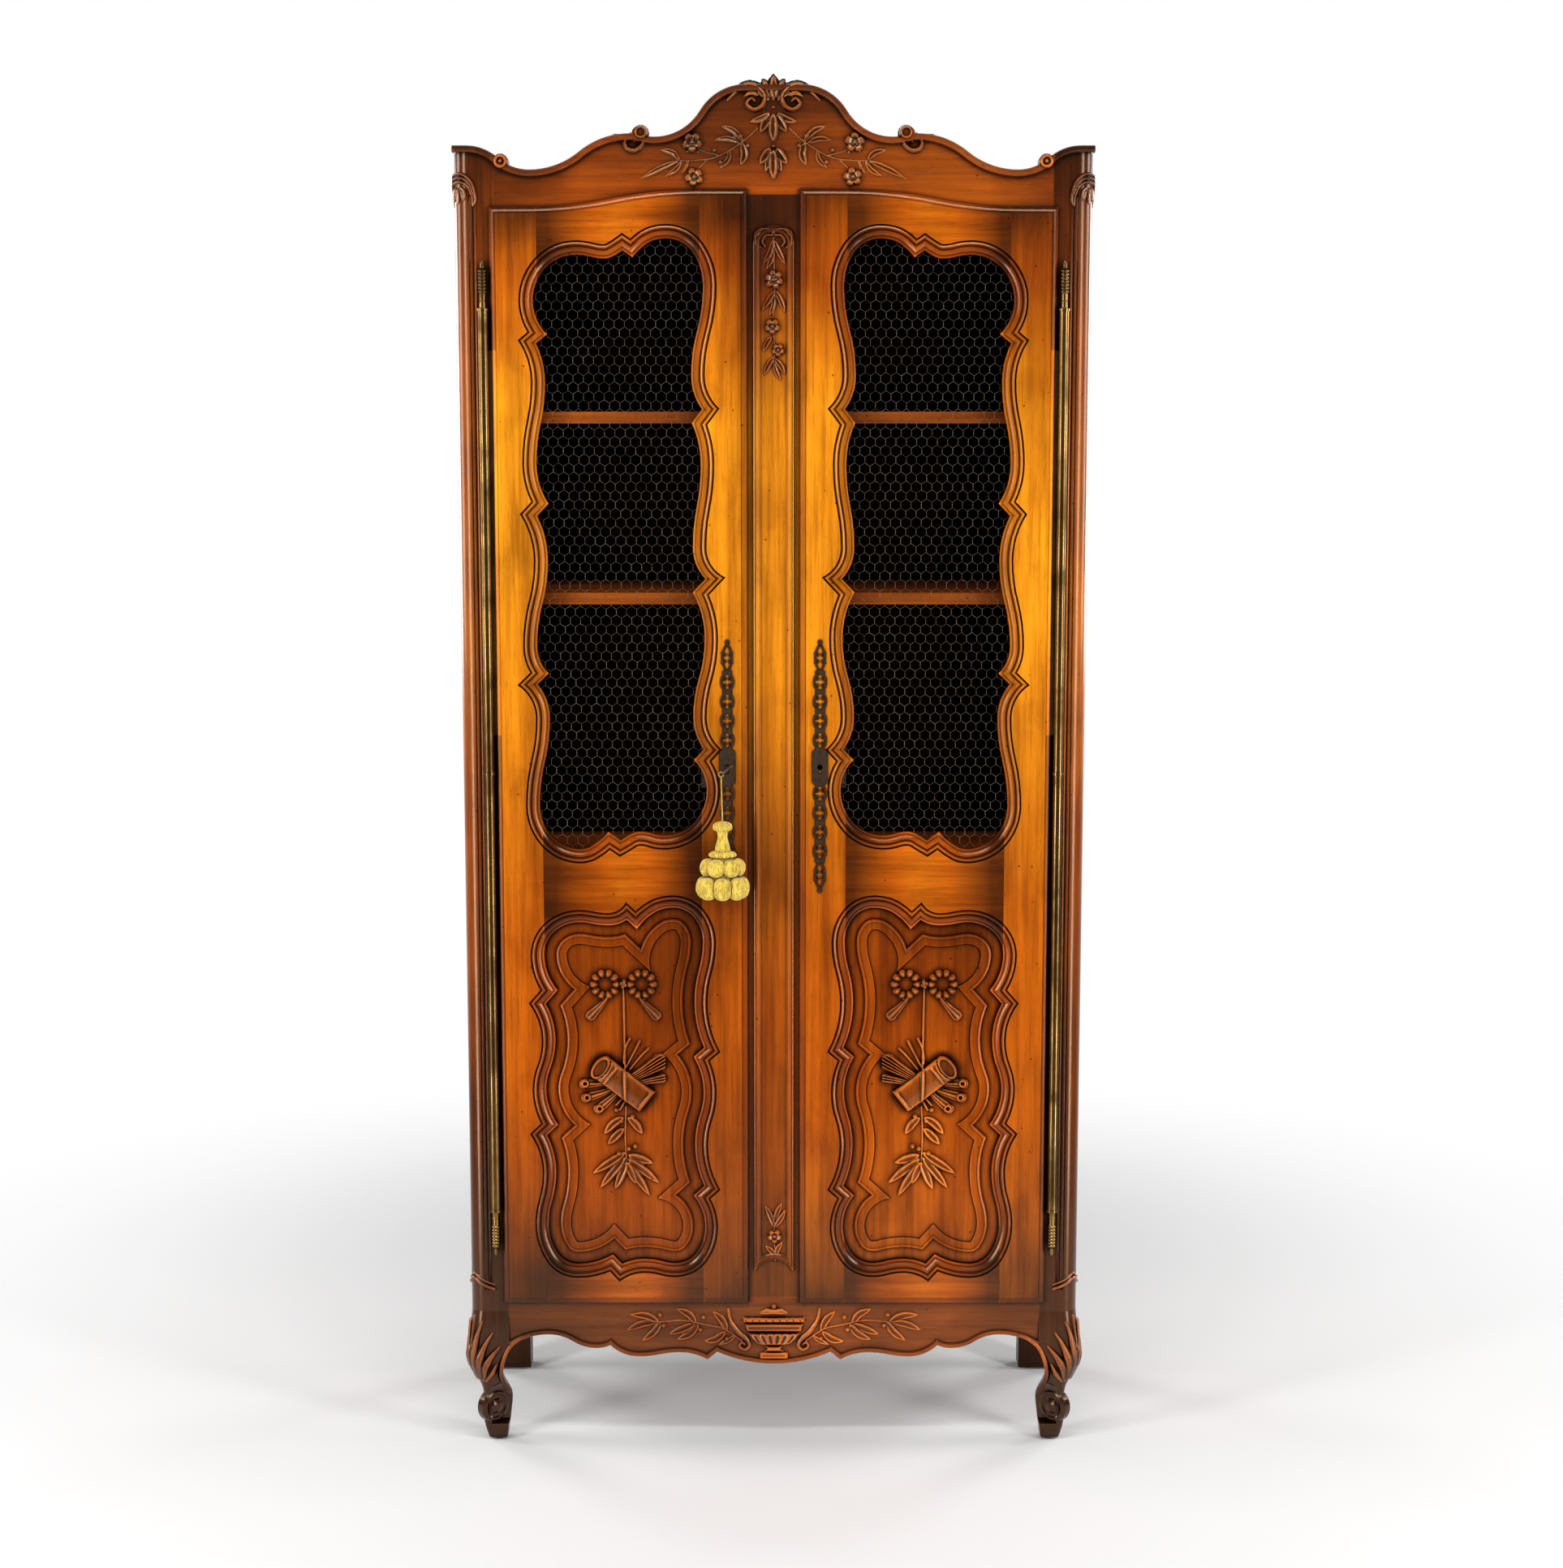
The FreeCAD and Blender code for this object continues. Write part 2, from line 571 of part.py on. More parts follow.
# Apron rail, shaped along its lower edge between the legs.
APRON = [(-INNER, size("apron_end"), "C"), (-0.743 * HALF, 188, "E"), (-0.584 * HALF, 165, "E"),
         (-0.540 * HALF, 170, "C"), (-0.445 * HALF, 151, "E"), (-0.310 * HALF, 158, "E"),
         (-0.219 * HALF, 146, "C"), (-0.187 * HALF, 159, "C"), (0, 139, "E")]
apron_line = outline(both_sides(APRON), False)
apron_top = size("door_bottom") + LIP
apron_body = apron_line + [(apron_line[-1][1], (INNER, apron_top), None, 0),
                           ((INNER, apron_top), (-INNER, apron_top), None, 0),
                           ((-INNER, apron_top), apron_line[0][0], None, 0)]
apron_plate = common(shaped(plate(apron_body, 0, 60)),
                     box("-overall_width / 2", "0", "0", "overall_width", "rail_thick", "400"))
apron_bead_levels = [(0, size("apron_bead"), 8), (0, size("apron_bead"), -1.5),
                     (1.5, size("apron_bead") - 1.5, -size("apron_bead_proud"))]
apron_bead = common(shaped(band(apron_line, apron_bead_levels)),
                    box("-overall_width / 2 + post_width", "-20", "0", "overall_width - 2 * post_width",
                        "60", "400"))
node("apron_rail", cut(fuse(apron_plate, apron_bead, apron_tenon, mirror(apron_tenon)), centre_tenon))

# Centre post with its raised panel, sockets for the lock bolts and strike plates.
bolt_y = "door_thick - door_proud + case_lock_thick / 2 + 0.3"
centre_thick = bolt_y + " + bolt_thick + 0.5 + centre_wall"
centre_blank = box("-centre_gap / 2 - door_lip", "0", "door_bottom + door_lip",
                   "centre_gap + 2 * door_lip", centre_thick,
                   "door_top_inner - door_bottom - 2 * door_lip")
half_panel = size("centre_panel_width") / 2
panel_points = [(-half_panel, size("centre_panel_high") - 22, "C"), (0, size("centre_panel_high"), "E"),
                (half_panel, size("centre_panel_high") - 22, "C"), (half_panel, size("centre_panel_low"), "C"),
                (0, size("centre_panel_low") + 20, "W"), (-half_panel, size("centre_panel_low"), "C")]
proud = size("centre_panel_proud")
centre_levels = [(0, 3), (0, -proud + 2.8), (-1.4, -proud + 2), (-2, -proud + 3), (-2.6, -proud + 1.4),
                 (-4.2, -proud + 0.2), (-6, -proud), (-8.2, -proud + 0.8), (-10.4, -proud + 2.6), (-12, -proud + 4.5)]
centre_panel = shaped(stack(outline(panel_points), centre_levels))
sockets = []
strikes = []
for side in (1, -1):
    reach = "centre_gap / 2 + door_lip - bolt_throw"
    start = "-(centre_gap / 2 + door_lip)" if side < 0 else reach
    sockets.append(box(start, bolt_y + " - 0.5", "lock_height - bolt_height / 2 - 0.5", "bolt_throw",
                       "bolt_thick + 1", "bolt_height + 1"))
    seat = "-(centre_gap / 2 + door_lip)" if side < 0 else "centre_gap / 2 + door_lip - 1.5"
    seat_box = box(seat, bolt_y + " - 3", "lock_height - 28", "1.5", "bolt_thick + 6", "56")
    sockets.append(seat_box)
    strikes.append(cut(seat_box, sockets[-2]))
node("centre_post", cut(fuse(centre_blank, centre_panel, centre_tenon), *sockets))
node("lock_strikes", group(*strikes))

# Rear posts, side frames and back.
back_y = "case_depth - 18"
back_x = "-overall_width / 2 + post_width"
back_run = "overall_width - 2 * post_width"
back_panel = box(back_x + " - groove_depth", back_y + " + 4", "door_bottom + back_rail_height - groove_depth - 40",
                 back_run + " + 2 * groove_depth", "side_panel_thick",
                 "rear_post_top - door_bottom - 2 * back_rail_height + 2 * groove_depth + 40")
rear_post = box("-overall_width / 2", rear_y, "glide_height", "post_width", "rear_post_depth",
                "rear_post_top - glide_height")
pair("rear_post", cut(rear_post, upper_panel, lower_panel, back_panel))
pair("side_upper_panel", upper_panel)
pair("side_lower_panel", lower_panel)
node("back_panel", back_panel)
node("back_top_rail", cut(box(back_x, back_y, "rear_post_top - back_rail_height", back_run, "18",
                              "back_rail_height"), back_panel))
node("back_bottom_rail", cut(box(back_x, back_y, "door_bottom - 40", back_run, "18", "back_rail_height"),
                             back_panel))

side_face = [(size("post_width"), size("side_top_low"), "C"), (size("post_width"), size("crest_valley") + 9, "C"),
             (size("case_depth") - size("rear_post_depth"), size("rear_post_top") - 26, "E"),
             (size("case_depth") - size("rear_post_depth") + 1, size("rear_post_top") - 26, "C"),
             (size("case_depth") - size("rear_post_depth") + 1, size("side_top_low"), "C")]
arch_middle = (size("post_width") + size("case_depth") - size("rear_post_depth")) / 2
arch_end = size("case_depth") - size("rear_post_depth")
arch_face = [(size("post_width"), size("side_arch_foot"), "C"), (size("post_width"), size("side_bottom_high"), "C"),
             (arch_end, size("side_bottom_high"), "C"), (arch_end, size("side_arch_foot"), "C"),
             (arch_middle, size("side_arch"), "W")]


def side_rail(points):
    """A side rail drawn in depth and height, then turned to lie along the side."""
    shape = plate(outline(points), 0, 80)
    shape.rotate(Vector(0, 0, 0), Vector(0, 0, 1), 90)
    item = doc.addObject("Part::Feature", "Shape")
    item.Shape = shape
    place(item, "-overall_width / 2 + 60")
    return common(item, box(side_x, side_y, "0", "side_rail_thick", side_run, "3000"))


pair("side_top_rail", cut(side_rail(side_face), upper_panel))
pair("side_middle_rail", cut(box(side_x, side_y, "side_middle_low", "side_rail_thick", side_run,
                                 "side_middle_high - side_middle_low"), upper_panel, lower_panel))
pair("side_bottom_rail", cut(side_rail(arch_face), lower_panel))

# Boards and shelves, notched round the posts, and the cleats that carry the shelves.


def board(low, front):
    wide = box(side_x + " + side_rail_thick", "post_width", low,
               "overall_width - 2 * side_inset - 2 * side_rail_thick", side_run, "board_thick")
    fore = box(back_x, front, low, back_run, "post_width - (" + front + ")", "board_thick")
    rear = box(back_x, rear_y, low, back_run, "rear_post_depth - 18", "board_thick")
    return fuse(wide, fore, rear)


floor_low = "door_bottom + door_lip - board_thick"
post_notch = box("-centre_gap / 2 - door_lip - shelf_gap", "0", floor_low, "centre_gap + 2 * door_lip + 2 * shelf_gap",
                 centre_thick + " + shelf_gap", "board_thick")
node("floor_board", cut(board(floor_low, "rail_thick"), post_notch))
node("top_board", board("top_board_low", "rail_thick"))
shelf_front = centre_thick + " + shelf_gap"
cleats = []
for name in ("shelf_upper", "shelf_middle", "shelf_lower"):
    node(name, board(name + "_top - board_thick", shelf_front))
    under = name + "_top - board_thick - cleat_size"
    for x in (back_x, "overall_width / 2 - post_width - cleat_size"):
        cleats.append(box(x, shelf_front, under, "cleat_size",
                          back_y + " - (" + shelf_front + ")", "cleat_size"))
node("shelf_cleats", group(*cleats))

glides = []
for x in ("-overall_width / 2 + post_width * 0.66", "overall_width / 2 - post_width * 0.66"):
    glides.append(cylinder(x, "post_width * 0.66", "0", "glide_radius", "glide_height * leg_height / 226"))
for x in ("-overall_width / 2 + post_width / 2", "overall_width / 2 - post_width / 2"):
    glides.append(cylinder(x, "case_depth - rear_post_depth / 2", "0", "glide_radius", "glide_height"))
node("foot_glides", group(*glides))

# Doors. The left one is built and the right one is its mirror image.
DOOR_LEFT = -INNER - LIP
DOOR_RIGHT = -CENTRE
MESH = [(0.580, 0.970, "C"), (0.650, 0.989, 38), (0.775, 1.000, "E"), (0.989, 0.925, "S"), (0.918, 0.780, "S"),
        (0.980, 0.726, "C"), (0.921, 0.704, "C"), (0.972, 0.637, "S"), (0.924, 0.501, "S"), (0.996, 0.450, "C"),
        (0.922, 0.428, "C"), (0.991, 0.353, "S"), (0.922, 0.221, "S"), (0.984, 0.168, "C"), (0.925, 0.150, "C"),
        (1.000, 0.100, "S"), (0.744, 0.023, "W"), (0.602, 0.0295, "W"), (0.535, 0.0235, 213), (0.486, 0.015, "C"),
        (0.413, 0.029, "C"), (0.358, 0.014, 218), (0.249, 0.000, "W"), (0.007, 0.073, "N"), (0.072, 0.221, "N"),
        (0.002, 0.276, "C"), (0.068, 0.294, "C"), (0.002, 0.338, "N"), (0.071, 0.481, "N"), (0.011, 0.553, "C"),
        (0.078, 0.573, "C"), (0.011, 0.637, "N"), (0.066, 0.771, "N"), (0.016, 0.832, "C"), (0.080, 0.847, "C"),
        (0.000, 0.900, "N"), (0.255, 0.974, "E"), (0.419, 0.968, "E"), (0.470, 0.972, 29), (0.523, 0.981, "C")]
PANEL = [(0.562, 0.960, "C"), (0.617, 0.981, 33), (0.757, 1.000, "E"), (0.979, 0.879, "S"), (0.934, 0.724, "S"),
         (1.000, 0.599, "C"), (0.945, 0.576, "C"), (0.980, 0.493, "S"), (0.934, 0.356, "S"), (0.998, 0.241, "C"),
         (0.946, 0.218, "C"), (0.985, 0.142, "S"), (0.757, 0.012, "W"), (0.595, 0.023, "W"), (0.464, 0.000, "C"),
         (0.413, 0.027, "C"), (0.245, 0.010, "W"), (0.022, 0.149, "N"), (0.064, 0.287, "N"), (0.000, 0.387, "C"),
         (0.059, 0.414, "C"), (0.017, 0.500, "N"), (0.068, 0.629, "N"), (0.002, 0.724, "C"), (0.064, 0.758, "C"),
         (0.015, 0.846, "N"), (0.268, 0.963, "E"), (0.420, 0.955, "E"), (0.512, 0.983, "C")]
MESH_DRAWN = (265, 947)
PANEL_DRAWN = (304.7, 631)
mesh_line = outline(within(MESH, MESH_DRAWN, DOOR_LEFT + size("mesh_left"), size("mesh_low"),
                           DOOR_RIGHT - size("mesh_right"), size("mesh_high")))
panel_line = outline(within(PANEL, PANEL_DRAWN, DOOR_LEFT + size("panel_left"), size("panel_low"),
                            DOOR_RIGHT - size("panel_right"), size("panel_high")))
face = -size("door_proud")

# Section of the moulding, as fractions of its width from the opening and depths below the door face.
SECTION = ((1.0, -5), (1.0, 3.0), (0.915, 3.0), (0.87, 1.4), (0.78, 0.8), (0.69, 1.6), (0.64, 3.6), (0.575, 3.6),
           (0.52, 2.2), (0.38, 2.4), (0.24, 4.4), (0.17, 6.8), (0.11, 6.8), (0.0, 7.6), (0.0, 40))
width = size("moulding_width")
mesh_cutter = shaped(stack(mesh_line, [(part * width, face + depth) for part, depth in SECTION]))
panel_cutter = shaped(stack(panel_line, [((part - 1) * width, face + depth) for part, depth in SECTION]))

door_points = [(DOOR_LEFT, size("door_bottom"), "C"), (DOOR_LEFT, size("door_top_outer"), "C"),
               (DOOR_LEFT + 56, size("door_top_outer") + 0.5, "E"), (DOOR_RIGHT - 70, size("door_top_inner"), "E"),
               (DOOR_RIGHT, size("door_top_inner"), "C"), (DOOR_RIGHT, size("door_bottom"), "C")]
inner_edge = -LIP - size("door_gap")
back = size("door_thick") - size("door_proud")
edge_levels = [(-10.5, face), (-10.2, face + 1.1), (-7.4, face + 1.3), (-4.6, face + 2.1), (-2.2, face + 3.7),
               (-0.7, face + 5.8), (0, face + 8)]
envelope = shaped(stack(outline(door_points), edge_levels + [(0, 0), (inner_edge, 0), (inner_edge, back)]))

door_left = "-(overall_width / 2 - post_width + door_lip)"
door_right = "-centre_gap / 2"
shoulder_left = door_left + " + stile_width"
shoulder_right = door_right + " - stile_width"
rail_run = "(overall_width / 2 - post_width + door_lip - centre_gap / 2 - 2 * stile_width)"
mesh_tall = "(mesh_high - mesh_low)"
panel_tall = "(panel_high - panel_low)"
rail_levels = {"bottom_rail": ("door_bottom", "panel_low + 0.145 * " + panel_tall),
               "lock_rail": ("panel_low + 0.86 * " + panel_tall, "mesh_low + 0.09 * " + mesh_tall),
               "top_rail": ("mesh_low + 0.91 * " + mesh_tall, "door_top_inner + 1")}
tenon_levels = {"bottom_rail": ("door_bottom + door_lip + door_gap + 4", "panel_low + tongue_margin - 4"),
                "lock_rail": ("panel_high - tongue_margin + 6", "mesh_low - rebate_margin - 6"),
                "top_rail": ("mesh_high + rebate_margin + 3", "door_top_outer - door_lip - door_gap - 4")}
mesh_rebate = box(door_left + " + mesh_left - rebate_margin", "rebate_floor", "mesh_low - rebate_margin",
                  "overall_width / 2 - post_width + door_lip - centre_gap / 2 - mesh_left - mesh_right"
                  " + 2 * rebate_margin", "door_thick", "mesh_high - mesh_low + 2 * rebate_margin")
tongue = box(door_left + " + panel_left + tongue_margin", "tongue_front", "panel_low + tongue_margin",
             "overall_width / 2 - post_width + door_lip - centre_gap / 2 - panel_left - panel_right"
             " - 2 * tongue_margin", "tongue_thick", "panel_high - panel_low - 2 * tongue_margin")
tenons = {}
for name, (low, high) in tenon_levels.items():
    tenons[name] = box(shoulder_left + " - tenon_length", "3", low, rail_run + " + 2 * tenon_length",
                       "tenon_thick", high + " - (" + low + ")")
leaf = box(hinge_x + " + barrel_radius - 3", "3 - " + hinge_proud, "barrel_joint + 60",
           "hinge_gap + 3 + leaf_depth", "leaf_thick", "barrel_top - barrel_joint - 120")
lock_x = door_right + " - lock_inset"
keyway = cylinder(lock_x, "-30", "lock_height", "5", "80", Vector(0, 1, 0))


def stile(x, run, side_x, *sockets):
    """A door stile, whose shaped edge reaches past the rail shoulders beside both openings."""
    upper = rail_levels["lock_rail"][1], rail_levels["top_rail"][0]
    lower = rail_levels["bottom_rail"][1], rail_levels["lock_rail"][0]
    blank = [box(x, "-20", "0", run, "60", "3000")]
    for low, high in (upper, lower):
        blank.append(box(side_x, "-20", low, rail_run + " / 2", "60", high + " - (" + low + ")"))
    worked = common(fuse(*blank), envelope)
    return cut(worked, mesh_cutter, panel_cutter, mesh_rebate, tongue, *sockets)


pair("door_hinge_stile", stile(door_left + " - 1", "stile_width + 1", shoulder_left, leaf, *tenons.values()))
pair("door_lock_stile", stile(shoulder_right, "stile_width + 1", shoulder_right + " - " + rail_run + " / 2",
                              keyway, *tenons.values()))
for name, (low, high) in rail_levels.items():
    blank = box(shoulder_left, "-20", low, rail_run, "60", high + " - (" + low + ")")
    worked = cut(common(blank, envelope), mesh_cutter, panel_cutter, mesh_rebate, tongue)
    pair("door_" + name, fuse(worked, tenons[name]))

# Fielded panel: a flat board with a raised field that follows the moulding.
field_levels = [(0, 0.6), (-0.7, -1.9), (-2, -3.4), (-3.6, -4), (-5, -3.6), (-5.8, -2.6)]
ground = size("ground_inset") - size("field_inset")
field_levels = field_levels + [(-ground, -2.6), (-ground - 0.8, -0.5)]
field = shaped(stack(offset(panel_line, -size("field_inset")),
                     [(distance, size("tongue_front") + y) for distance, y in field_levels]))
pair("door_panel", fuse(tongue, field))

# Wire mesh: one holed sheet of six-sided cells, with the strips that hold it in the rebate.


def wire_net():
    left = DOOR_LEFT + size("mesh_left") - size("rebate_margin") + 0.5
    right = DOOR_RIGHT - size("mesh_right") + size("rebate_margin") - 0.5
    low = size("mesh_low") - size("rebate_margin") + 0.5
    high = size("mesh_high") + size("rebate_margin") - 0.5
    y = size("rebate_floor")
    cell = size("wire_cell")
    side = cell / math.sqrt(3)
    hole = side - size("wire_thick") * 1.3
    rows = int((high - low - 12) // (1.5 * side))
    columns = int((right - left - 12) // cell)
    start_x = (left + right) / 2 - (columns - 1) * cell / 2
    start_z = (low + high) / 2 - (rows - 1) * 0.75 * side
    rim = [Vector(left, y, low), Vector(right, y, low), Vector(right, y, high), Vector(left, y, high)]
    wires = [Part.makePolygon(rim + rim[:1])]
    for row in range(rows):
        odd = row % 2
        for column in range(columns - odd):
            at = Vector(start_x + (column + 0.5 * odd) * cell, y, start_z + row * 1.5 * side)
            turns = [math.radians(60 * step + 30) for step in range(6)]
            ring = [at + Vector(hole * math.cos(turn), 0, hole * math.sin(turn)) for turn in turns]
            wires.append(Part.makePolygon(ring + ring[:1]))
    return Part.Face(wires, "Part::FaceMakerBullseye").extrude(Vector(0, size("wire_thick"), 0))


pair("door_wire_mesh", shaped(wire_net()))
retainer_y = "rebate_floor + wire_thick"
retainer_thick = "door_thick - door_proud - rebate_floor - wire_thick"
retainer_x = door_left + " + mesh_left - rebate_margin"
retainer_run = "(overall_width / 2 - post_width + door_lip - centre_gap / 2 - mesh_left - mesh_right + 2 * rebate_margin)"
retainer_low = "mesh_low - rebate_margin"
retainer_tall = "(mesh_high - mesh_low + 2 * rebate_margin)"
retainer = []
for low in (retainer_low, "mesh_high + rebate_margin - retainer_width"):
    retainer.append(box(retainer_x, retainer_y, low, retainer_run, retainer_thick, "retainer_width"))
for x in (retainer_x, retainer_x + " + " + retainer_run + " - retainer_width"):
    retainer.append(box(x, retainer_y, retainer_low + " + retainer_width", "retainer_width", retainer_thick,
                        retainer_tall + " - 2 * retainer_width"))
pair("door_mesh_retainer", group(*retainer))

# Keyhole plates: a plate with a pierced chain of scrolls above and below.


def disc(x, y, z, radius):
    return Part.makeCylinder(radius, size("scutcheon_thick"), Vector(x, y, z), Vector(0, 1, 0))


def link_plate(x, y, z, across, reach):
    """A plate between two arcs that meet above and below."""
    top, low = Vector(x, y, z + reach), Vector(x, y, z - reach)
    arcs = [Part.Arc(low, Vector(x + across, y, z), top).toShape(), Part.Arc(top, Vector(x - across, y, z), low).toShape()]
    return Part.Face(Part.Wire(arcs)).extrude(Vector(0, size("scutcheon_thick"), 0))


def scutcheon():
    x = DOOR_RIGHT - size("lock_inset")
    z = size("lock_height")
    y = -size("door_proud") - size("scutcheon_thick")
    wide, tall, link, strip = size("scutcheon_width"), size("scutcheon_height"), size("scroll_link"), size("scroll_strip")
    chamfer = 3
    corners = []
    for sx, sz in ((-1, -1), (1, -1), (1, 1), (-1, 1)):
        ends = [Vector(x + sx * (wide / 2 - chamfer), y, z + sz * tall / 2),
                Vector(x + sx * wide / 2, y, z + sz * (tall / 2 - chamfer))]
        corners.extend(ends if sx * sz < 0 else reversed(ends))
    solids = [Part.Face(Part.makePolygon(corners + corners[:1])).extrude(Vector(0, size("scutcheon_thick"), 0))]
    holes = [disc(x, y, z, 4.2), Part.makeBox(4.6, size("scutcheon_thick"), 11, Vector(x - 2.3, y, z - 11))]
    for side in (1, -1):
        foot = z + side * tall / 2
        for index in range(5):
            reach = link * (1.45 if index == 4 else 1.0) / 2
            across = wide * (0.36 if index == 4 else 0.44)
            centre = foot + side * (reach - 1)
            solids.append(link_plate(x, y, centre, across, reach))
            holes.append(link_plate(x, y, centre, across - strip, reach - 1.5 * strip))
            solids.extend(disc(x + turn * 0.2 * wide, y, foot, 0.12 * wide) for turn in (-1, 1))
            foot = centre + side * (reach - 1)
        solids.append(disc(x, y, foot + side * 2.4, 3.4))
    return solids[0].fuse(solids[1:]).cut(holes).removeSplitter()


pair("door_escutcheon", shaped(scutcheon()))

# Locks: a case behind the stile, a sliding bolt and, in the left door, the key.
case_y = "door_thick - door_proud"
lock_case = box(lock_x + " - 42", case_y, "lock_height - 36", "59", "case_lock_thick", "72")
bolt_room = box(lock_x + " - 26", bolt_y + " - 0.4", "lock_height - bolt_height / 2 - 0.4", "60",
                "bolt_thick + 0.8", "bolt_height + 0.8")
ward_room = cylinder(lock_x, case_y + " + 1.5", "lock_height", "14", "6.2", Vector(0, 1, 0))
stem_room = cylinder(lock_x, case_y + " - 1", "lock_height", "stem_radius + 0.6", "5", Vector(0, 1, 0))
pair("door_lock_case", cut(lock_case, bolt_room, ward_room, stem_room))
pair("lock_bolt", box(lock_x + " - 24", bolt_y, "lock_height - bolt_height / 2", "40.5", "bolt_thick",
                      "bolt_height"))


def wire_ring(at, first, second, radius, steps):
    """An oval ring of round wire through circles, with its half axes given as vectors."""
    halves = []
    for half in (0, 1):
        wires = []
        for step in range(steps // 2 + 1):
            turn = math.pi * (half + 2 * step / steps)
            way = second * math.cos(turn) - first * math.sin(turn)
            flat = first.cross(second)
            circle = Part.makeCircle(radius)
            circle.Placement = FreeCAD.Placement(at + first * math.cos(turn) + second * math.sin(turn),
                                                 FreeCAD.Rotation(flat, way.cross(flat), way, "ZXY"))
            wires.append(Part.Wire(circle))
        halves.append(Part.makeLoft(wires, True, True))
    return halves[0].fuse(halves[1])


key_x = DOOR_RIGHT - size("lock_inset")
key_front = -size("key_reach")
ring_y = key_front + size("bow_depth") / 2
stem_from = ring_y + size("bow_depth") / 2 - 2 * size("bow_wire") + 0.8
stem_to = back + 7.2
stem = Part.makeCylinder(size("stem_radius"), stem_to - stem_from, Vector(0, stem_from, 0), Vector(0, 1, 0))
collar = Part.makeCylinder(size("stem_radius") + 1.4, 4, Vector(0, stem_from + 2.5, 0), Vector(0, 1, 0))
bit = Part.makeBox(9.5, 3.6, 3, Vector(1, back + 2.6, -1.5))
arm = size("bow_length") / 2 - size("bow_wire")
ring = wire_ring(Vector(0, ring_y, 0), Vector(arm, 0, 0), Vector(0, size("bow_depth") / 2 - size("bow_wire"), 0),
                 size("bow_wire"), 24)
key_shape = stem.fuse([collar, bit, ring])
key = shaped(key_shape)
key.Placement.Rotation = FreeCAD.Rotation(Vector(0, 1, 0), -size("key_tilt"))
node("key", place(key, lock_x, "0", "lock_height"))

# Tassel on a cord, hung from the lower end of the key ring.
tilt = math.radians(size("key_tilt"))
hang_x = key_x - arm * math.cos(tilt)
hang_z = size("lock_height") - arm * math.sin(tilt)
loop_radius = size("bow_wire") + size("cord_radius") + 0.5
loop = wire_ring(Vector(hang_x, ring_y, hang_z), Vector(0, 0, loop_radius), Vector(loop_radius, 0, 0),
                 0.85 * size("cord_radius"), 16)
drop_top = Vector(hang_x, ring_y, hang_z - loop_radius)
drop_low = Vector(hang_x + 2, ring_y, hang_z - size("cord_drop"))
drop = Part.makeCylinder(size("cord_radius"), drop_top.distanceToPoint(drop_low), drop_top, drop_low - drop_top)
node("tassel_cord", shaped(loop.fuse(drop)))

# Rings of the tassel from the top down: height fraction, radius fraction, lobes and how deep they are.
TASSEL = ((0.000, 0.12, 0, 0), (0.012, 0.26, 0, 0), (0.045, 0.34, 12, 0.03), (0.090, 0.33, 12, 0.03),
          (0.125, 0.21, 0, 0), (0.190, 0.18, 0, 0), (0.280, 0.22, 0, 0), (0.360, 0.29, 0, 0),
          (0.385, 0.43, 14, 0.05), (0.425, 0.46, 14, 0.05), (0.455, 0.60, 6, 0.10), (0.520, 0.80, 6, 0.16),
          (0.610, 0.78, 6, 0.16), (0.660, 0.64, 6, 0.10), (0.700, 0.74, 7, 0.10), (0.780, 0.96, 7, 0.14),
          (0.880, 0.98, 7, 0.14), (0.960, 0.80, 7, 0.12), (1.000, 0.45, 7, 0.05))


def tassel():
    around = 56
    top = Vector(drop_low.x, ring_y, drop_low.z)
    room = (-size("door_proud") - size("scutcheon_thick") - 1 - ring_y) / size("tassel_radius")
    rings = []
    for down, wide, lobes, depth in TASSEL:
        ring = []
        for step in range(around):
            turn = 2 * math.pi * step / around
            bulge = 1 - depth + depth * abs(math.cos(lobes * turn / 2)) if lobes else 1.0
            reach = size("tassel_radius") * wide * bulge
            deep = min(room, 0.62) if math.sin(turn) > 0 else 0.72
            ring.append(Vector(top.x + reach * math.cos(turn), top.y + reach * math.sin(turn) * deep,
                               top.z - down * size("tassel_height")))
        rings.append(ring)
    faces = []
    for upper, lower in zip(rings, rings[1:]):
        for step in range(around):
            after = (step + 1) % around
            for corner in ((upper[step], upper[after], lower[after]), (upper[step], lower[after], lower[step])):
                faces.append(Part.Face(Part.makePolygon(list(corner) + [corner[0]])))
    for ring in (rings[0], rings[-1]):
        faces.append(Part.Face(Part.makePolygon(ring + ring[:1])))
    shell = Part.Shell(faces)
    shell.sewShape()
    return Part.Solid(shell)


node("tassel", shaped(tassel()))

# Hinges: long barrels with turned ends. The door barrel turns on a pin in the frame barrel.
# Turned end: radius in barrel radii and height as a fraction of the whole.
FINIAL_RINGS = 7
RING_PITCH = 0.068
FINIAL = [(1.16, 0), (1.16, 0.045), (0.68, 0.06), (0.64, 0.18), (0.7, 0.19), (0.64, 0.2), (0.66, 0.33)]
for ring in range(FINIAL_RINGS):
    low = 0.34 + ring * RING_PITCH
    FINIAL += [(0.7, low), (0.86, low + 0.3 * RING_PITCH), (0.86, low + 0.6 * RING_PITCH), (0.7, low + 0.9 * RING_PITCH)]
FINIAL += [(0.44, 0.84), (0.42, 0.94), (0.3, 0.98), (0, 1)]


def finial(z, direction):
    radius, tall = size("barrel_radius"), size("finial_height")
    x = -HALF + size("post_width") - LIP - radius - size("hinge_gap")
    y = -radius - size("hinge_gap")
    points = [Vector(x + wide * radius, y, z + direction * high * tall) for wide, high in FINIAL]
    points = [Vector(x, y, z)] + points
    turned = Part.Face(Part.makePolygon(points + points[:1]))
    return shaped(turned.revolve(Vector(x, y, 0), Vector(0, 0, 1), 360))


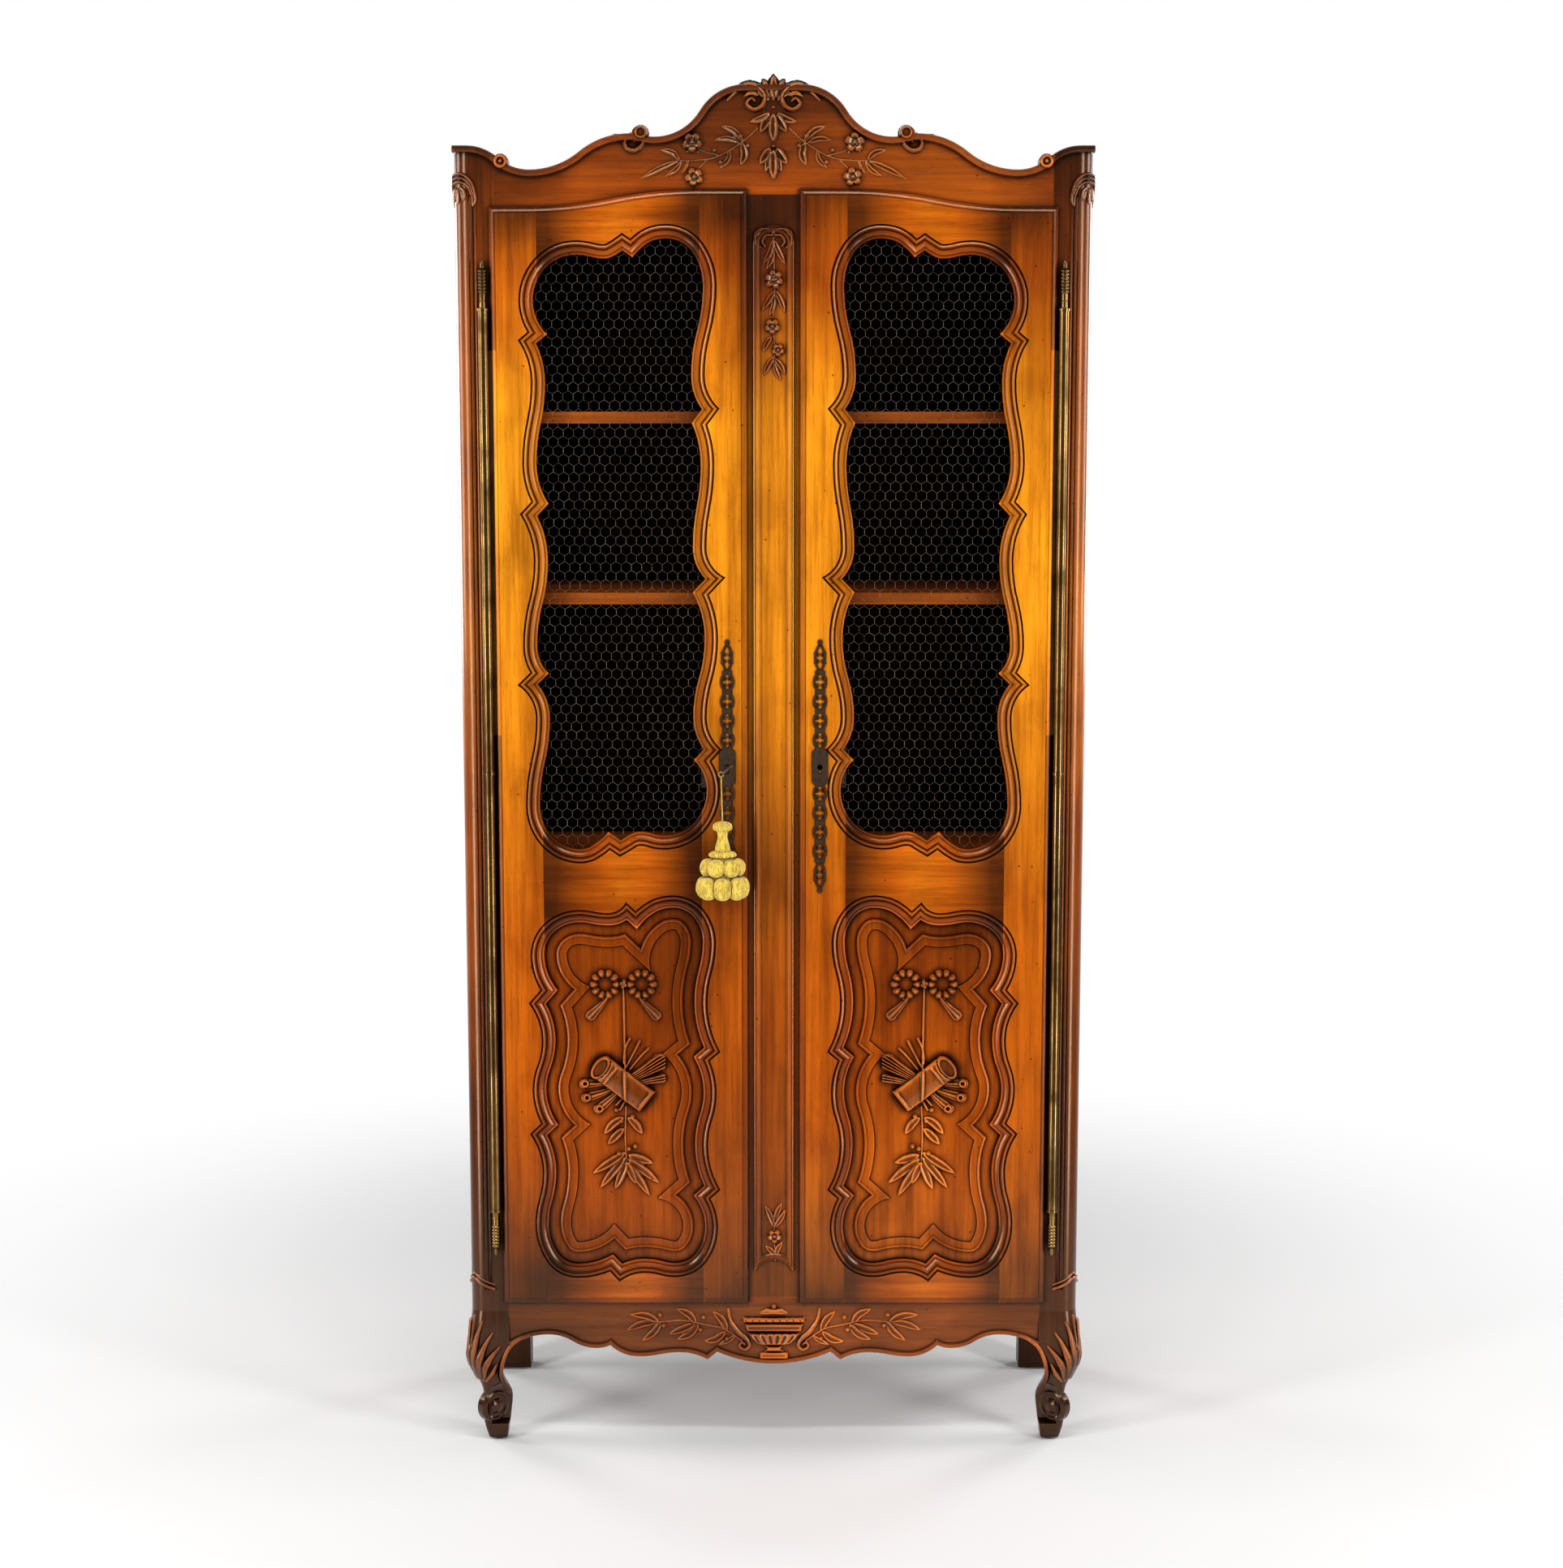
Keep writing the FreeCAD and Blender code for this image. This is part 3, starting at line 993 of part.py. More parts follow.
hinge_y = "-" + hinge_proud
joint_low = "barrel_joint - collar_height / 2"
joint_high = "barrel_joint + collar_height / 2 + collar_gap"
door_bore = cylinder(hinge_x, hinge_y, joint_high, "pin_radius + pin_fit", "pin_reach + 1")
door_barrel = cylinder(hinge_x, hinge_y, joint_high, "barrel_radius",
                       "barrel_top - barrel_joint - collar_height / 2 - collar_gap")
pair("hinge_door_barrel", cut(fuse(door_barrel, finial(size("barrel_top"), 1), leaf), door_bore))
frame_bore = cylinder(hinge_x, hinge_y, joint_low + " - pin_reach", "pin_radius + pin_fit",
                      "pin_reach + 1")
frame_barrel = cylinder(hinge_x, hinge_y, "barrel_foot", "barrel_radius",
                        "barrel_joint - collar_height / 2 - barrel_foot")
frame_leaf = box(hinge_x + " - leaf_thick / 2", hinge_y + " + pin_radius + 2", "barrel_foot + 60", "leaf_thick",
                 "leaf_depth - pin_radius - 2 + " + hinge_proud, "barrel_joint - barrel_foot - 120")
pair("hinge_frame_barrel", cut(fuse(frame_barrel, finial(size("barrel_foot"), -1), frame_leaf), frame_bore))
pin = cylinder(hinge_x, hinge_y, joint_low + " - pin_reach", "pin_radius",
               "2 * pin_reach + collar_height")
collar_ring = cylinder(hinge_x, hinge_y, joint_low, "barrel_radius + 1.4", "collar_height")
pair("hinge_pin", fuse(pin, collar_ring))

doc.recompute()
for item in doc.Objects:
    if "Invalid" in item.State or "Error" in item.State:
        raise RuntimeError("%s (%s) did not build" % (item.Label, item.Name))
os.makedirs("parts", exist_ok=True)
for item in parts:
    if item.Shape.isNull() or not item.Shape.isValid():
        raise RuntimeError("%s has no valid shape" % item.Label)
    item.Shape.exportStep("parts/%s.step" % item.Label)
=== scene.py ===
import json
import math

import bpy
import numpy as np
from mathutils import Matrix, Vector


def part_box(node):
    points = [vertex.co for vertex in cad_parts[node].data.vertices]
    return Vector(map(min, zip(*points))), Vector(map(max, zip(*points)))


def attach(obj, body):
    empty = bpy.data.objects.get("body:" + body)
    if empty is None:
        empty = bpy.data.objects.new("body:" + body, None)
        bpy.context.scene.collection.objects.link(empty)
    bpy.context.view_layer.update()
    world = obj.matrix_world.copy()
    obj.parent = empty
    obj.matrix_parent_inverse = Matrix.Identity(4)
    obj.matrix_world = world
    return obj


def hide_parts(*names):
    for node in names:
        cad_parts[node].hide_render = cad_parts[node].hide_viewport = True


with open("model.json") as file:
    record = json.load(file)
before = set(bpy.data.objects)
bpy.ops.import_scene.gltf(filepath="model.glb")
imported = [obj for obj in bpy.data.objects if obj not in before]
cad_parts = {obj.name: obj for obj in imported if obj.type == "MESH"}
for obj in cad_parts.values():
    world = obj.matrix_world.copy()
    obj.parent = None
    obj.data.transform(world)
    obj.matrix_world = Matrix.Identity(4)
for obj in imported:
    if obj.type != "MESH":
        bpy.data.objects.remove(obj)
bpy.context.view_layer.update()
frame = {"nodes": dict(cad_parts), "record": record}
MM = 0.001
SIDES = ((1, "left"), (-1, "right"))

# Camera at the photograph's viewing angle.
IMAGE_HIGH = 1932
FOCAL_PX = 3338
SENSOR = 36.0
CAMERA_AT = (0.0123, -4.397, 1.659)
CAMERA_PITCH = 7.73

camera_data = bpy.data.cameras.new("camera")
camera_data.sensor_width = SENSOR
camera_data.lens = SENSOR * FOCAL_PX / IMAGE_HIGH
camera = bpy.data.objects.new("camera", camera_data)
camera.location = CAMERA_AT
camera.rotation_euler = (math.radians(90 - CAMERA_PITCH), 0, 0)
bpy.context.scene.collection.objects.link(camera)
bpy.context.scene.camera = camera
bpy.context.scene.view_settings.view_transform = "Standard"


# Shader helpers.
def new_material(name):
    """A material, its node tree and its main shader."""
    made = bpy.data.materials.new(name)
    made.use_nodes = True
    return made, made.node_tree, made.node_tree.nodes["Principled BSDF"]


def put(tree, socket, value):
    """Links a socket to another one, or gives it a plain value."""
    if isinstance(value, bpy.types.NodeSocket):
        tree.links.new(value, socket)
    else:
        socket.default_value = value


def add(tree, kind, **values):
    """A node with its settings and what goes into its sockets."""
    made = tree.nodes.new(kind)
    for key, value in values.items():
        if key in made.inputs:
            put(tree, made.inputs[key], value)
        else:
            setattr(made, key, value)
    return made


def calculate(tree, operation, *values):
    """The result of a sum with the given values."""
    made = add(tree, "ShaderNodeMath", operation=operation)
    for socket, value in zip(made.inputs, values):
        put(tree, socket, value)
    return made.outputs[0]


def axis_of(tree, vector, axis):
    """A vector's value along one axis."""
    return add(tree, "ShaderNodeSeparateXYZ", Vector=vector).outputs[axis]


def between(tree, value, start=0, full=1, low=0, high=1, **settings):
    """A value that goes from low to high while another goes from start to full."""
    limits = {"From Min": start, "From Max": full, "To Min": low, "To Max": high}
    return add(tree, "ShaderNodeMapRange", Value=value, **limits, **settings).outputs["Result"]


def ramp(tree, source, stops):
    """Colours that follow a value, given at places between 0 and 1."""
    made = add(tree, "ShaderNodeValToRGB", Fac=source)
    while len(made.color_ramp.elements) < len(stops):
        made.color_ramp.elements.new(0.5)
    for element, (place, colour) in zip(made.color_ramp.elements, stops):
        element.position = place
        element.color = (*colour, 1)
    return made.outputs["Color"]


def mix(tree, kind, factor, one, two):
    """Two colours mixed in a share that may follow a socket, as may the colours."""
    made = add(tree, "ShaderNodeMix", data_type="RGBA", blend_type=kind)
    for socket, value in zip((made.inputs["Factor"], made.inputs[6], made.inputs[7]), (factor, one, two)):
        put(tree, socket, (*value, 1) if isinstance(value, tuple) else value)
    return made.outputs[2]


def toned(tree, colour, share, source, stops):
    """A colour multiplied, in part, by tones that follow a value."""
    return mix(tree, "MULTIPLY", share, colour, ramp(tree, source, stops))


def noise(tree, coordinates, stretch, scale, detail, distortion=0.0):
    """Cloudy noise, drawn out along the axes where the stretch is small."""
    place = add(tree, "ShaderNodeMapping", Scale=stretch, Vector=coordinates).outputs["Vector"]
    made = add(tree, "ShaderNodeTexNoise", Scale=scale, Detail=detail, Distortion=distortion, Vector=place)
    return made.outputs["Fac"]


def openness(tree, reach, samples, **settings):
    """How open each place is: low in hollows and 1 on open faces."""
    made = add(tree, "ShaderNodeAmbientOcclusion", samples=samples, Distance=reach, **settings)
    return made.outputs["AO"]


def bump(tree, shader, height, strength, distance):
    """Fine bumps on a surface."""
    made = add(tree, "ShaderNodeBump", Strength=strength, Distance=distance, Height=height)
    tree.links.new(made.outputs["Normal"], shader.inputs["Normal"])


def base_colour(made):
    """The node tree of a material, its colour socket and what is linked to that."""
    socket = made.node_tree.nodes["Principled BSDF"].inputs["Base Color"]
    return made.node_tree, socket, socket.links[0].from_socket


def grey(value):
    return (value, value, value)


# Wood. Tones multiply the colour, and each has a place between 0 and 1 on the value that it follows.
BLACK, WHITE = grey(0), grey(1)
EVEN = (1, 1, 1)
GRAIN = {"X": (0.04, 1, 1), "Y": (1, 0.04, 1), "Z": (1, 1, 0.04)}
FIGURE_TONES = ((0.30, (0.58, 0.50, 0.44)), (0.62, (1.14, 1.13, 1.10)))
STREAK_TONES = ((0.34, (0.58, 0.52, 0.48)), (0.58, (1.06, 1.06, 1.05)))
SMUDGE_TONES = ((0.34, (0.52, 0.44, 0.38)), (0.50, WHITE), (0.68, (1.14, 1.16, 1.14)))
PORE_TONES = ((0.30, (0.4, 0.35, 0.32)), (0.40, WHITE))
KNOCK_TONES = ((0.05, (0.12, 0.08, 0.06)), (0.075, WHITE))
# Painted shade: wood is darkened within 5 cm of raised parts and in hollows, by these tones.
HOLLOW_SHADE_TONES = ((0.35, (0.22, 0.16, 0.13)), (0.95, WHITE))
HOLLOW_SHADE_REACH, WAX_AND_SHADE_REACH, EDGE_REACH = 0.05, 0.012, 0.006
# Near black of dark wax and painted shade where the wood is shut in.
WAX_AND_SHADE = (0.004, 0.0012, 0.0006)
# A darker tone for parts behind the face, such as the mouldings.
BEHIND_FACE_TONE = (0.64, 0.52, 0.44)
# Raised edges are lightened by these shares: rubbing and a painted highlight.
RUBBED_AND_HIGHLIGHT = (2.8, 2.7, 2.4)
SHEEN = (1.0, 0.68, 0.44)
SHINY, GLOSSY, DULL = 0.75, 0.6, 0.04
# The darker tone and the honey tone that boards take along their length, as the stops give.
DARKER_TONE = (0.10, 0.10, 0.35)
HONEY = (1.7, 3.0, 3.0)
PALEST = (0.86, 0.56, 0.30)
CLOUD_SCALE, CLOUD_SHIFT = 9.0, 0.10
DEFAULT_WAX_SHADE_SPAN = (0.48, 0.93)
EDGE = (0.42, 0.66)


def tones_along_board(tree, colour, places, axis, stops):
    """Tones the wood along one axis of each board, by places between 0 and 1 and shares of the dark tone,
    or of the honey tone where the share is negative."""
    cloud = noise(tree, places["Object"], EVEN, CLOUD_SCALE, 1)
    run = calculate(tree, "MULTIPLY", axis_of(tree, places["Generated"], axis), 1 - CLOUD_SHIFT)
    shifted = calculate(tree, "MULTIPLY_ADD", cloud, CLOUD_SHIFT, run)
    tones = []
    for at, share in stops:
        full = DARKER_TONE if share > 0 else HONEY
        tone = tuple(1 + abs(share) * (value - 1) for value in full)
        tones.append((at * (1 - CLOUD_SHIFT) + CLOUD_SHIFT / 2, tone))
    return toned(tree, colour, 1.0, shifted, tones)


def walnut(name, along, tones, gloss=0.22, shine=GLOSSY, darker_depths=None, aged=(), highlit_depths=None, wax_shade_span=DEFAULT_WAX_SHADE_SPAN,
           edge=EDGE):
    """Polished wood of a dark, a middle and a light tone, with grain along one axis, pores, knocks and a
    cloudy polish.
    Painted shade darkens it near raised parts, and dark wax with painted shade sits in the hollows. What lies
    behind the face, such as the mouldings, is darker over the given range of depths. Raised edges are
    lightened by rubbing and a painted highlight in the range of depths that is given. The wax and painted
    shade cover what is shut in more than the given range."""
    made, tree, shader = new_material(name)
    places = add(tree, "ShaderNodeTexCoord").outputs
    coordinates = places["Object"]
    stretch = GRAIN[along]
    figure = noise(tree, coordinates, stretch, 30, 4, 0.8)
    streaks = noise(tree, coordinates, stretch, 170, 3, 0.3)
    pores = noise(tree, coordinates, stretch, 1100, 2)
    cloud = noise(tree, coordinates, tuple(0.35 + 0.65 * value for value in stretch), 3.6, 2)
    smudges = noise(tree, coordinates, tuple(0.5 + 0.5 * value for value in stretch), 17, 5, 0.4)
    knocks = add(tree, "ShaderNodeTexVoronoi", Scale=38.0, Vector=coordinates).outputs["Distance"]
    colour = ramp(tree, cloud, tuple(zip((0.30, 0.48, 0.68), tones)))
    # The last layer is painted shade near raised parts and in hollows.
    layers = ((0.8, figure, FIGURE_TONES), (0.6, streaks, STREAK_TONES), (0.45, smudges, SMUDGE_TONES),
              (0.5, pores, PORE_TONES), (0.8, knocks, KNOCK_TONES),
              (0.9, openness(tree, HOLLOW_SHADE_REACH, 4), HOLLOW_SHADE_TONES))
    for share, source, stops in layers:
        colour = toned(tree, colour, share, source, stops)
    # Darker and lighter stretches along each board, as the stops give.
    for axis, stops in aged:
        colour = tones_along_board(tree, colour, places, axis, stops)
    depth = axis_of(tree, coordinates, "Y")
    # Parts behind the face, such as the mouldings, are made darker.
    if darker_depths:
        colour = toned(tree, colour, 1.0, between(tree, depth, *darker_depths), ((0, WHITE), (1, BEHIND_FACE_TONE)))
    # Dark wax and painted shade: near black where the wood is shut in within 12 mm, as round raised carving.
    near = openness(tree, WAX_AND_SHADE_REACH, 6)
    open_share = ramp(tree, near, ((wax_shade_span[0], BLACK), (wax_shade_span[1], WHITE)))
    colour = mix(tree, "MIX", open_share, WAX_AND_SHADE, colour)
    polish = ramp(tree, near, ((0.42, grey(DULL)), (0.75, grey(shine))))
    tree.links.new(polish, shader.inputs["Specular IOR Level"])
    # Raised edges lightened by rubbing and a painted highlight.
    if highlit_depths:
        edges = openness(tree, EDGE_REACH, 6, inside=True, only_local=True)
        highlit_edge = ramp(tree, edges, ((edge[0], RUBBED_AND_HIGHLIGHT), (edge[1], WHITE)))
        colour = mix(tree, "MULTIPLY", between(tree, depth, *highlit_depths), colour, highlit_edge)
    colour = mix(tree, "DARKEN", 1.0, colour, PALEST)
    tree.links.new(colour, shader.inputs["Base Color"])
    rough = ramp(tree, streaks, ((0.2, grey(gloss + 0.08)), (0.8, grey(gloss))))
    tree.links.new(rough, shader.inputs["Roughness"])
    bump(tree, shader, pores, 0.10, 0.0005)
    shader.inputs["Specular Tint"].default_value = (*SHEEN, 1)
    return made


# The dark, middle and light tones of each kind of board.
RICH = ((0.270, 0.048, 0.002), (0.500, 0.096, 0.0025), (0.640, 0.140, 0.004))
DEEP = ((0.080, 0.017, 0.003), (0.230, 0.048, 0.005), (0.420, 0.096, 0.006))
RUDDY = ((0.160, 0.030, 0.003), (0.400, 0.072, 0.003), (0.580, 0.120, 0.005))
UMBER = ((0.120, 0.023, 0.004), (0.265, 0.052, 0.005), (0.400, 0.082, 0.006))
LOW = (DEEP[0], DEEP[1], UMBER[1])
CHESTNUT = ((0.170, 0.029, 0.002), (0.380, 0.067, 0.003), (0.540, 0.110, 0.004))
# Near-black tones of the inside boards: painted shade.
SHADED_INSIDE_TONES = ((0.003, 0.002, 0.0015), (0.005, 0.003, 0.002), (0.009, 0.005, 0.003))
PLAIN = ((0.060, 0.020, 0.007), (0.110, 0.038, 0.012), (0.170, 0.064, 0.020))
CARVED_CREST = ((0.060, 0.016, 0.004), (0.160, 0.040, 0.006), (0.290, 0.076, 0.010))
CARVED_LEG = ((0.026, 0.008, 0.003), (0.060, 0.016, 0.005), (0.105, 0.030, 0.008))

# Depths in metres between which the darker tone of parts behind the face, or the lightening of raised edges
# by rubbing and a painted highlight, sets in.
DOOR_FRONT = -0.185
BEHIND = (DOOR_FRONT + 0.0002, DOOR_FRONT + 0.0016)
PROUD = (-0.1752, -0.1765)
ALL_DEPTHS = (-1.0, -0.9)

# How the boards darken and lighten along an axis.
STILE_ENDS = ("Z", ((0.0, 0.95), (0.085, 0.4), (0.2, 0.1), (0.38, -0.1), (0.53, -0.7), (0.68, -1.0),
                    (0.79, -0.95), (0.86, -0.5), (0.92, 0.1), (1.0, 0.9)))
RAIL_ENDS = ("X", ((0.0, 1.0), (0.18, 0.9), (0.4, 0.0), (0.5, -0.15), (0.62, 0.0), (0.82, 0.9), (1.0, 1.0)))
CREST_EDGE = ("Z", ((0.35, 0.0), (0.6, 0.1), (0.75, 0.6), (0.95, 0.8)))
CREST_ENDS = ("X", ((0.0, 0.8), (0.08, 0.6), (0.17, 0.05), (0.5, 0.2), (0.85, -0.1), (0.95, 0.4), (1.0, 0.7)))
APRON_ENDS = ("X", ((0.0, 0.6), (0.22, 0.0), (0.35, 0.2), (0.5, 0.0), (0.65, 0.2), (0.8, 0.0), (1.0, 0.6)))
POST_ENDS = ("Z", ((0.0, 1.0), (0.14, 0.92), (0.31, 0.68), (0.48, 0.2), (0.65, -0.25), (0.85, 0.1),
                   (1.0, 0.9)))
MIDDLE_ENDS = ("Z", ((0.0, 0.9), (0.13, 0.45), (0.3, 0.15), (0.45, -0.5), (0.6, -1.0), (0.8, -1.0),
                     (0.88, 0.3), (0.97, 0.95)))
PANEL_ENDS = ("Z", ((0.0, 0.5), (0.25, 0.1), (0.6, 0.1), (1.0, 0.5)))
REAR_ENDS = ("Z", ((0.0, 1.0), (0.09, 0.95), (0.2, 0.3), (0.4, 0.0), (1.0, 0.0)))

POLISHED = 0.16
SATIN = {"gloss": 0.34, "shine": 0.3}
DOOR = {"gloss": POLISHED, "darker_depths": BEHIND, "highlit_depths": BEHIND, "wax_shade_span": (0.56, 0.95)}
wood_x = walnut("walnut_across", "X", DEEP, **SATIN)
wood_y = walnut("walnut_sides", "Y", DEEP, **SATIN)
wood_z = walnut("walnut_upright", "Z", DEEP, **SATIN)
crest_wood = walnut("walnut_crest", "X", RUDDY, aged=(CREST_EDGE, CREST_ENDS), highlit_depths=PROUD)
apron_wood = walnut("walnut_apron", "X", LOW, aged=(APRON_ENDS,), highlit_depths=PROUD)
post_wood = walnut("walnut_post", "Z", UMBER, POLISHED, aged=(POST_ENDS,), highlit_depths=ALL_DEPTHS)
middle_wood = walnut("walnut_centre", "Z", RICH, aged=(MIDDLE_ENDS,), highlit_depths=ALL_DEPTHS)
panel_wood = walnut("walnut_panel", "Z", CHESTNUT, POLISHED, 0.4, aged=(PANEL_ENDS,), highlit_depths=ALL_DEPTHS,
                    wax_shade_span=(0.76, 0.985), edge=(0.50, 0.84))
rear_wood = walnut("walnut_rear", "Z", DEEP, aged=(REAR_ENDS,), **SATIN)
door_x = walnut("door_across", "X", RICH, aged=(RAIL_ENDS,), **DOOR)
door_z = walnut("door_upright", "Z", RICH, aged=(STILE_ENDS,), **DOOR)
# The inside boards are near black: painted shade.
inner_x = walnut("inner_across", "X", SHADED_INSIDE_TONES, 0.7, DULL)
SHADED_INSIDE_FACE = grey(0.03)


def outer_board(node, along, axis, outward):
    """A plain board that closes the case: brown outside and near black inside, which is painted shade."""
    made = walnut(node, along, PLAIN, 0.6, DULL)
    tree, socket, colour = base_colour(made)
    place = axis_of(tree, add(tree, "ShaderNodeTexCoord").outputs["Object"], axis)
    low, high = (corner["XYZ".index(axis)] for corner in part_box(node))
    inner, outer = (low, high) if outward > 0 else (high, low)
    outside = between(tree, place, 0.7 * inner + 0.3 * outer, 0.3 * inner + 0.7 * outer)
    # Painted shade: the inner half of the board is made near black.
    tree.links.new(toned(tree, colour, 1.0, outside, ((0, SHADED_INSIDE_FACE), (1, WHITE))), socket)
    return made


# The axis of the grain, the axis that points out of the case, and the way along it.
OUTER_BOARDS = {"back_panel": ("Z", "Y", 1), "back_top_rail": ("X", "Y", 1),
                "back_bottom_rail": ("X", "Y", 1), "top_board": ("X", "Z", 1), "floor_board": ("X", "Z", -1)}


def carved(name, along, tones, ridge):
    """The same wood on carving, darkened in its hollows by patina and painted shade, and lightened on its
    ridges by rubbing and a painted highlight.
    """
    made = walnut(name, along, tones, 0.14, SHINY)
    tree, socket, colour = base_colour(made)
    wear_and_painted_light = add(tree, "ShaderNodeAttribute", attribute_name="wear_and_painted_light").outputs["Fac"]
    wear_and_shading = ((0.2, (0.05, 0.04, 0.04)), (0.5, (0.62, 0.56, 0.52)), (0.76, ridge))
    tree.links.new(mix(tree, "DARKEN", 1.0, toned(tree, colour, 1.0, wear_and_painted_light, wear_and_shading), PALEST), socket)
    return made


# The last tone of each carving lightens its ridges: rubbing and a painted highlight.
carved_x = carved("carved_across", "X", DEEP, (3.0, 3.2, 3.0))
carved_z = carved("carved_upright", "Z", DEEP, (2.8, 3.0, 2.8))
carved_top = carved("carved_crest", "X", CARVED_CREST, (3.6, 3.9, 3.8))
carved_low = carved("carved_legs", "Z", CARVED_LEG, (4.5, 4.2, 3.4))


def metal(name, bright, dull, smooth, rough, scale):
    """Aged metal: bright spots from handling, dull patches and fine scratches."""
    made, tree, shader = new_material(name)
    coordinates = add(tree, "ShaderNodeTexCoord").outputs["Object"]
    patch = noise(tree, coordinates, EVEN, scale, 4, 0.6)
    fine = noise(tree, coordinates, (1, 1, 0.3), scale * 9, 2)
    colour = ramp(tree, patch, ((0.38, dull), (0.62, bright)))
    colour = toned(tree, colour, 0.35, fine, ((0.3, (0.6, 0.58, 0.55)), (0.6, WHITE)))
    open_share = ramp(tree, openness(tree, EDGE_REACH, 6), ((0.3, BLACK), (0.8, WHITE)))
    grime = tuple(0.25 * value for value in dull)
    tree.links.new(mix(tree, "MIX", open_share, grime, colour), shader.inputs["Base Color"])
    wear_and_shading = ramp(tree, patch, ((0.3, grey(rough)), (0.7, grey(smooth))))
    tree.links.new(wear_and_shading, shader.inputs["Roughness"])
    bump(tree, shader, fine, 0.15, 0.0003)
    shader.inputs["Metallic"].default_value = 1.0
    return made


brass = metal("aged_brass", (0.27, 0.155, 0.050), (0.10, 0.052, 0.015), 0.20, 0.36, 14)
iron = metal("dull_iron", (0.150, 0.098, 0.066), (0.070, 0.044, 0.028), 0.36, 0.6, 90)
wire = metal("mesh_wire", (0.19, 0.16, 0.13), (0.08, 0.062, 0.048), 0.38, 0.6, 70)


def yarn(name, dark, light):
    """Fuzzy wool with strands of slightly different dye, and painted shade where it is folded."""
    made, tree, shader = new_material(name)
    coordinates = add(tree, "ShaderNodeTexCoord").outputs["Object"]
    strands = noise(tree, coordinates, (1, 1, 0.3), 620, 4, 1.0)
    dye = noise(tree, coordinates, (1, 1, 0.4), 150, 2)
    colour = ramp(tree, strands, ((0.36, dark), (0.6, light)))
    colour = toned(tree, colour, 0.9, dye, ((0.35, (0.62, 0.60, 0.3)), (0.6, (1.05, 1.05, 1.0))))
    # Painted shade between the wool balls and where the wool is folded.
    fold_shade = openness(tree, 0.02, 6)
    colour = toned(tree, colour, 1.0, fold_shade, ((0.25, (0.14, 0.09, 0.01)), (0.62, WHITE)))
    tree.links.new(colour, shader.inputs["Base Color"])
    bump(tree, shader, strands, 0.5, 0.001)
    shader.inputs["Roughness"].default_value = 0.9
    shader.inputs["Sheen Weight"].default_value = 0.4
    return made


cord_yarn = yarn("cord_yarn", (0.36, 0.21, 0.03), (0.80, 0.55, 0.14))
tassel_wool = yarn("tassel_wool", (0.50, 0.30, 0.018), (0.96, 0.70, 0.11))

# Materials of the CAD pieces, by their slots and by the direction of each board's grain.
ACROSS = ("crest_rail", "apron_rail", "bottom_rail", "lock_rail", "top_rail")
SLOTS = {row["node"]: row["material_slot"] for row in frame["record"]["subparts"]}
NOT_WOOD = {"brass": brass, "iron": iron, "wire": wire, "cord_yarn": cord_yarn, "tassel_wool": tassel_wool}
OWN_WOOD = {"crest_rail": crest_wood, "apron_rail": apron_wood, "centre_post": middle_wood,
            "front_post_left": post_wood, "front_post_right": post_wood,
            "rear_post_left": rear_wood, "rear_post_right": rear_wood}


def finish_of(name):
    """The material of a CAD piece."""
    across = any(word in name for word in ACROSS)
    if name in OUTER_BOARDS:
        return outer_board(name, *OUTER_BOARDS[name])
    if SLOTS[name] in NOT_WOOD:
        return NOT_WOOD[SLOTS[name]]
    if SLOTS[name] == "inner_wood":
        return wood_x if name.startswith("shelf") else inner_x
    if name.startswith("side_") and "rail" in name:
        return wood_y
    if name.startswith("door_panel"):
        return panel_wood
    if name.startswith("door_"):
        return door_x if across else door_z
    return OWN_WOOD.get(name, wood_x if across else wood_z)


for name, item in frame["nodes"].items():
    item.data.materials.clear()
    item.data.materials.append(finish_of(name))


# Carving. Reliefs are height fields in millimetres over a face, closed behind by a flat back inside the wood.
STEP = 0.9
SUNK = -1.6
BACK = 2.5
EDGE_SLOPE = 1.7
MARGIN = 2
TWIST_DEPTH = 0.5
DRUM_RIM, DRUM_SLOPE = 3, 2.5
HOOP_HIGH, HOOP_WIDE = 2.2, 1.5
# Blur and range of the ridge value that sets painted highlight, painted shade, rubbing and patina on carving.
WEAR_AND_LIGHT_BLUR, WEAR_AND_LIGHT_RANGE = 14, 1.6


def smooth_line(points, spacing=0.8):
    """Evenly dense points on a smooth line through the given ones."""
    given = np.array(points, float)
    ends = np.vstack([2 * given[0] - given[1], given, 2 * given[-1] - given[-2]])
    run = []
    for a, b, c, d in zip(ends, ends[1:], ends[2:], ends[3:]):
        t = np.linspace(0, 1, max(3, int(np.linalg.norm(c - b) / spacing)), endpoint=False)[:, None]
        run.append(0.5 * (2 * b + (c - a) * t + (2 * a - 5 * b + 4 * c - d) * t ** 2
                          + (3 * b - a - 3 * c + d) * t ** 3))
    return np.vstack(run + [given[-1:]])


